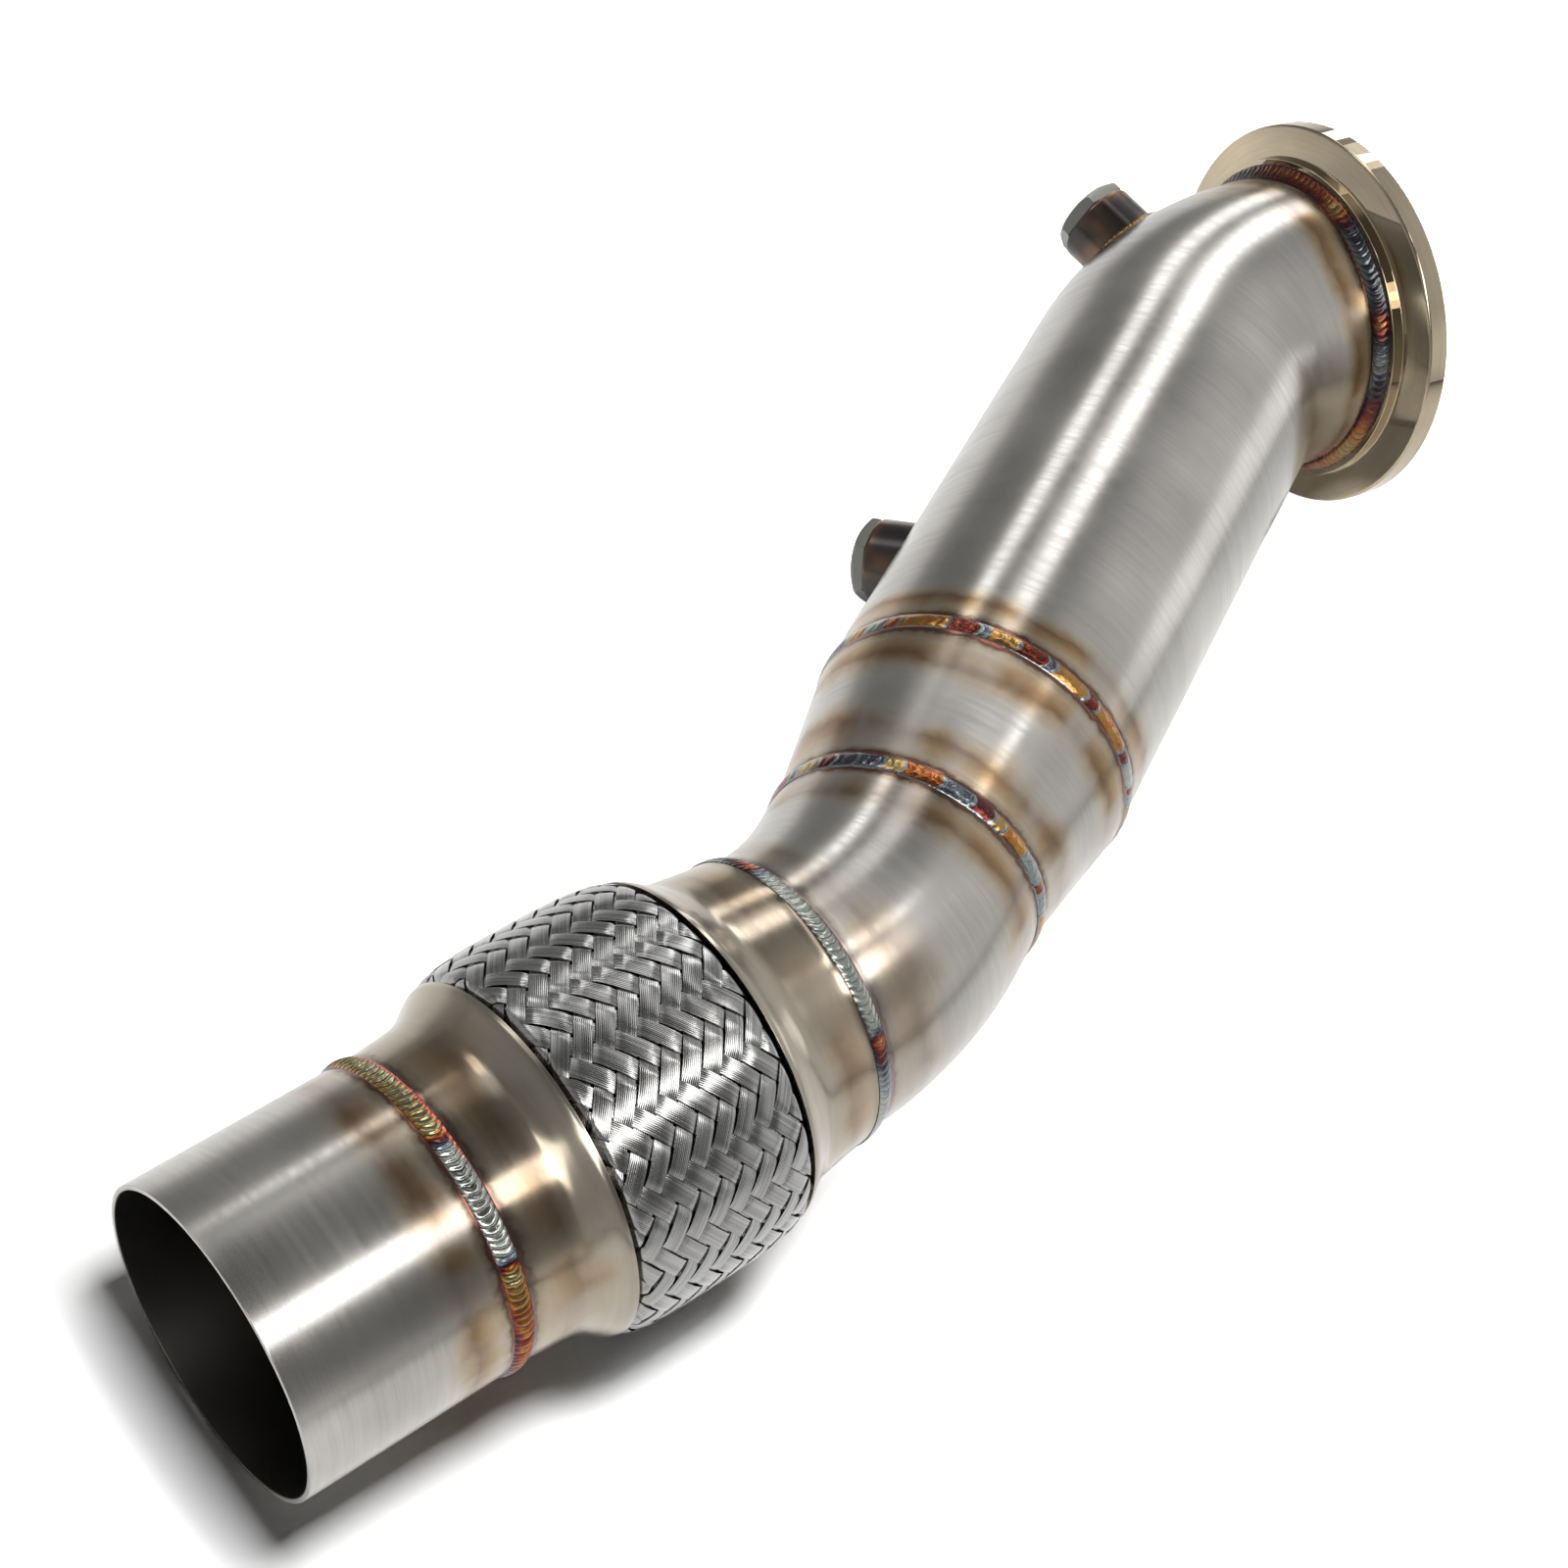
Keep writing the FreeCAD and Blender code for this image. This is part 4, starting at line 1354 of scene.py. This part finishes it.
def make_flex_section():
    lower_finish = tube_finish("lower_collar_steel", COLLAR_STEEL, [
        (OUTLET_WELD + BEAD_TOE, 1, 23.0, 0.75),
    ], bore=NECK_BORE, polish=0.04, line_depth=0.0015)
    upper_finish = tube_finish("upper_collar_steel", COLLAR_STEEL, [
        (SLIP_WELD, -1, 21.0, 0.7),
    ], bore=NECK_BORE, polish=0.04, line_depth=0.0015)
    make_collars(lower_finish, upper_finish)
    make_braid(braid_finish())
    # Painted shade: the inner bellows and liner are given dark colours
    for node_name, colour in INNER_SHADED_STEEL.items():
        finish = dull_finish(node_name + "_steel", colour)
        for material_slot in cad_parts[node_name].material_slots:
            material_slot.material = finish


def make_outlet_weld(tree):
    finish = bead_finish("outlet_bead", OUTLET_BEAD, [
        (-180, 0.34), (0, 0.9), (26, 0.9), (36, 0.06), (94, 0.08), (104, 0.95), (138, 0.92),
        (147, 0.1), (158, 0.24), (170, 0.34), (179, 0.36),
    ], shade=0.95, line=(38, 112))
    section = butt_section(OUTLET_WELD, OUTLET_RADIUS, OUTLET_LOWERED)
    make_bead("outlet_weld", section, tree, finish, OUTLET_BEAD, OUTLET_RIPPLE)


def make_reducer_welds(tree):
    finish = patchwork_finish("reducer_bead")
    for node, run, radius, cells in (
        ("reducer_lower_weld", LOWER_REDUCER_WELD, ELBOW_RADIUS, LOWER_REDUCER_CELLS),
        ("reducer_upper_weld", UPPER_REDUCER_WELD, MAIN_RADIUS, UPPER_REDUCER_CELLS),
    ):
        section = butt_section(run, radius, REDUCER_LOWERED)
        lumps = REDUCER_LUMPS
        make_bead(node, section, tree, finish, REDUCER_BEAD, REDUCER_RIPPLE, lumps, cells)


def make_slip_weld(tree):
    finish = bead_finish("slip_bead", SLIP_BEAD, [
        (-180, 0.8), (30, 0.88), (62, 0.32), (75, 0.9), (140, 0.84), (146, 0.3), (158, 0.62),
        (179, 0.8),
    ], shade=0.6)
    on_neck = (SLIP_WELD - SLIP_HEEL, NECK_RADIUS + 0.05)
    on_elbow = (SLIP_WELD + SLIP_LEG, ELBOW_RADIUS)
    section = corner_section(on_neck, on_elbow)
    make_bead("elbow_slip_weld", section, tree, finish, SLIP_BEAD, CORNER_RIPPLE)


def make_flange_weld(tree):
    finish = bead_finish("flange_bead", FLANGE_BEAD, [
        (-180, 0.42), (-158, 0.12), (-140, 0.3), (-60, 0.5), (0, 0.3), (45, 0.5), (62, 0.34),
        (88, 0.36), (97, 0.14), (108, 0.6), (120, 0.7), (134, 0.62), (145, 0.3), (158, 0.8),
        (172, 0.5), (179, 0.42),
    ], shade=0.8, darkening=0.5)
    on_tube = (MAIN_BEND_END + 0.2, MAIN_RADIUS)
    on_hub = (MAIN_BEND_END + FLANGE_START, HUB_RADIUS - HUB_LEG)
    section = corner_section(on_tube, on_hub)
    make_bead("flange_weld", section, tree, finish, FLANGE_BEAD, CORNER_RIPPLE)


def make_bungs(tree):
    """Two bungs with their plugs and beads. The upper one sits on the outside of the bend."""
    finishes = (
        scorched_finish("bung_steel"),
        tube_finish("plug_steel", PLUG_STEEL, [], polish=-0.2),
        bead_finish("bung_bead", BUNG_BEAD, [(-180, 0.06), (0, 0.16), (179, 0.06)], 0.6, 0.2),
    )
    outside_bend = 0.5 / (BEND_RADIUS + MAIN_RADIUS)
    make_plugged_bung("lower", LOWER_BUNG, 0.0, finishes, tree)
    make_plugged_bung("upper", UPPER_BUNG, outside_bend, finishes, tree)


# Floor, backdrop, lamps and camera

# The ground round the outlet's foot that doesn't glow: where its four edges start and end
FOOT_LEFT = (-68, -44)
FOOT_RIGHT = (40, 68)
FOOT_FRONT = (-32, -8)
FOOT_BACK = (130, 190)
FLOOR_GLOW = 0.14
CAMERA_GLOW = 0.82
ROOM_LIGHT = 0.03
KEY_SIDE = 0.48
KEY_BRIGHTNESS = 62.0

# Sizes of the room, in metres
FLOOR_HALF = 12.0
DOME_RADIUS = 9.0
SHEET_REACH = 8.0
SHEET_RISE = 0.0005
AIM_HEIGHT = 0.06
LAMP_DISTANCE = 2.0

# The camera: its place in millimetres, its turns about X, Y and Z, and its lens
CAMERA_PLACE = (-537.66483, 5.19564, 695.95205)
CAMERA_TURNS = (34.1419, -17.9103, -64.438)
CAMERA_LENS = 71.81
SENSOR_WIDTH = 36.0

# Where the key light hangs: compass direction and height
KEY_PLACE = (154.0, 85.4)

# Panels that reflections show: name, compass direction, height, roll, two sides, brightness
STRIPS = [
    ("right_strip", -124.7, 61.3, 15.0, 2.6, 0.58, 4.2),
    ("left_panel", 16.3, 35.0, -121.1, 1.84, 0.49, 0.92),
    ("left_low_strip", 26.2, 18.0, 43.7, 2.47, 0.24, 2.7),
    ("left_high_strip", 13.6, 32.5, -21.8, 0.29, 0.94, 2.5),
    ("top_strip", 14.1, 65.8, -31.7, 2.05, 0.3, 1.5),
    ("middle_strip", -41.0, 65.0, 0.0, 0.16, 0.45, 4.5),
    ("front_panel", -168.5, 48.0, -13.6, 0.92, 1.15, 3.1),
    ("far_left_panel", 80.0, 38.0, 0.0, 0.45, 0.55, 1.6),
    ("low_right_panel", -39.6, 3.0, 0.0, 0.54, 0.8, 0.95),
]
# The dome's grey by height, where 1 is overhead
DOME_GREYS = [
    (0.0, 0.62), (0.26, 0.44), (0.5, 0.4), (0.71, 0.25), (0.87, 0.3), (0.97, 0.22), (1.0, 0.23),
]
# Soft patches on the dome: compass direction, height, half the angle, brightness
DOME_PATCHES = [
    (-110.0, 38.0, 20.0, 0.19),
    (-112.0, -2.0, 9.0, 0.95),
    (-77.0, 14.0, 11.0, 1.0),
    (56.4, 6.4, 30.6, 0.28),
    (29.9, 63.3, 23.3, 0.16),
    (-39.5, 20.3, 31.0, 0.85),
    (76.2, 45.8, 13.0, 1.0),
]
# The sheet beyond the part: where it fades in, its grey and how much it covers
SHEET_START = 0.11
SHEET_END = 0.42
SHEET_GREY = 0.3
SHEET_COVER = 0.85


def seen_directly(tree):
    """1 for camera, glossy and transmission rays, 0 for the light itself."""
    path = tree.nodes.new("ShaderNodeLightPath")
    seen = Reading(tree, path.outputs["Is Camera Ray"])
    seen = seen.worked("MAXIMUM", Reading(tree, path.outputs["Is Glossy Ray"]))
    return seen.worked("MAXIMUM", Reading(tree, path.outputs["Is Transmission Ray"]))


def make_world():
    world = bpy.data.worlds.new("white_room")
    bpy.context.scene.world = world
    world.use_nodes = True
    tree = world.node_tree
    background = tree.nodes["Background"]
    background.inputs["Color"].default_value = (1, 1, 1, 1)
    feed(background.inputs["Strength"], seen_directly(tree) * (1.0 - ROOM_LIGHT) + ROOM_LIGHT)


def make_floor():
    """A white floor that glows a little where it is seen, but not at the part's foot."""
    form = bmesh.new()
    bmesh.ops.create_grid(form, x_segments=1, y_segments=1, size=FLOOR_HALF)
    floor = shown("floor", mesh_from("floor", form))
    material, tree, shader = new_finish("white_floor", 1.0, 0.0)
    shader.inputs["Base Color"].default_value = (0.93, 0.93, 0.93, 1)
    shader.inputs["Specular IOR Level"].default_value = 0.0
    shader.inputs["Emission Color"].default_value = (1, 1, 1, 1)
    ahead = line_at(0).to_3x3().col[2]
    x, y, _ = split(stretched(object_place(tree), MM_IN_METRE))
    x = x - OUTLET_CENTRE[0]
    y = y - OUTLET_CENTRE[1]
    aside = x * ahead.y - y * ahead.x
    along = x * ahead.x + y * ahead.y
    shaded = aside.eased_between(*FOOT_LEFT) * aside.eased_out(*FOOT_RIGHT)
    shaded = shaded * along.eased_between(*FOOT_FRONT) * along.eased_out(*FOOT_BACK)
    path = tree.nodes.new("ShaderNodeLightPath")
    camera = Reading(tree, path.outputs["Is Camera Ray"])
    glow = seen_directly(tree) * FLOOR_GLOW + camera * CAMERA_GLOW
    feed(shader.inputs["Emission Strength"], glow * (1.0 - shaded))
    floor.data.materials.append(material)


def direction(azimuth, elevation):
    """From the part towards a compass direction and a height above the floor."""
    flat = math.cos(math.radians(elevation))
    turn = math.radians(azimuth)
    return Vector((flat * math.cos(turn), flat * math.sin(turn), math.sin(math.radians(elevation))))


def facing_part(azimuth, elevation, distance):
    """A place that far away whose Z axis points away from the part."""
    away = direction(azimuth, elevation)
    place = away.to_track_quat("Z", "Y").to_matrix().to_4x4()
    place.translation = away * distance + Vector((0, 0, AIM_HEIGHT))
    return place


def softbox(name, azimuth, elevation, roll, width, height, brightness):
    """A panel that reflections show, as bright as a white surface times brightness."""
    lamp = bpy.data.lights.new(name, "AREA")
    lamp.shape = "RECTANGLE"
    lamp.size = width
    lamp.size_y = height
    lamp.energy = brightness * math.pi * width * height
    box = shown(name, lamp)
    box.matrix_world = facing_part(azimuth, elevation, LAMP_DISTANCE) @ clocked(roll)
    box.visible_camera = False
    return box


def make_lamps():
    """A key light that only lights, and panels that only reflections show."""
    key = softbox("key_box", *KEY_PLACE, 0, KEY_SIDE, KEY_SIDE, KEY_BRIGHTNESS)
    key.visible_glossy = False
    for strip in STRIPS:
        box = softbox(*strip)
        box.visible_diffuse = False


def glowing_finish(name):
    """A black finish whose own light is all that it shows."""
    material, tree, shader = new_finish(name, 1.0, 0.0)
    shader.inputs["Base Color"].default_value = (0, 0, 0, 1)
    shader.inputs["Specular IOR Level"].default_value = 0.0
    shader.inputs["Emission Strength"].default_value = 1.0
    return material, tree, shader


def only_reflected(name, form, material):
    """Puts a form in the scene that only reflections show."""
    thing = shown(name, mesh_from(name, form))
    thing.data.materials.append(material)
    thing.visible_camera = False
    thing.visible_diffuse = False
    thing.visible_shadow = False
    thing.visible_transmission = False


def make_dome():
    """A grey dome that only reflections show, lighter and darker in soft patches."""
    form = bmesh.new()
    bmesh.ops.create_uvsphere(form, u_segments=48, v_segments=24, radius=DOME_RADIUS)
    below = [vertex for vertex in form.verts if vertex.co.z < -0.01]
    bmesh.ops.delete(form, geom=below, context="VERTS")
    material, tree, shader = glowing_finish("dome_grey")
    place = object_place(tree)
    height = split(place)[2] / DOME_RADIUS
    level = ramp(height, [(rise, (grey, grey, grey)) for rise, grey in DOME_GREYS])
    for azimuth, elevation, size, brightness in DOME_PATCHES:
        toward = tree.nodes.new("ShaderNodeVectorMath")
        toward.operation = "DOT_PRODUCT"
        feed(toward.inputs[0], place)
        toward.inputs[1].default_value = direction(azimuth, elevation) / DOME_RADIUS
        edge = math.cos(math.radians(size * 1.7))
        core = math.cos(math.radians(size * 0.2))
        share = Reading(tree, toward.outputs["Value"]).eased_between(edge, core)
        level = mixed(tree, share, level, (brightness,) * 3)
    feed(shader.inputs["Emission Color"], level)
    only_reflected("studio_dome", form, material)


def make_floor_sheet():
    """A grey sheet on the floor beyond the part, which only reflections show."""
    form = bmesh.new()
    bmesh.ops.create_grid(form, x_segments=1, y_segments=1, size=1.0)
    for vertex in form.verts:
        side = SHEET_START if vertex.co.y < 0 else SHEET_REACH
        vertex.co = Vector((vertex.co.x * SHEET_REACH, side, SHEET_RISE))
    material, tree, shader = glowing_finish("sheet_grey")
    shader.inputs["Emission Color"].default_value = (SHEET_GREY, SHEET_GREY, SHEET_GREY, 1)
    side = split(object_place(tree))[1]
    feed(shader.inputs["Alpha"], side.eased_between(SHEET_START, SHEET_END, 0.0, SHEET_COVER))
    only_reflected("floor_sheet", form, material)


def make_camera():
    lens = bpy.data.cameras.new("camera")
    lens.sensor_width = SENSOR_WIDTH
    lens.lens = CAMERA_LENS
    camera = shown("camera", lens)
    turns = Euler([math.radians(angle) for angle in CAMERA_TURNS])
    place = Matrix.Translation(Vector(CAMERA_PLACE) * MM)
    camera.matrix_world = place @ turns.to_matrix().to_4x4()
    bpy.context.scene.camera = camera


make_tubes()
make_flex_section()
flange_finish = tube_finish("flange_steel", FLANGE_STEEL, [], polish=0.2, line_depth=0.0008)
make_flange(flange_finish)
ripples = ripple_tree()
make_outlet_weld(ripples)
make_reducer_welds(ripples)
make_slip_weld(ripples)
make_flange_weld(ripples)
make_bungs(ripples)

make_world()
make_floor()
make_camera()
make_lamps()
make_dome()
make_floor_sheet()
bpy.context.scene.view_settings.view_transform = "Standard"

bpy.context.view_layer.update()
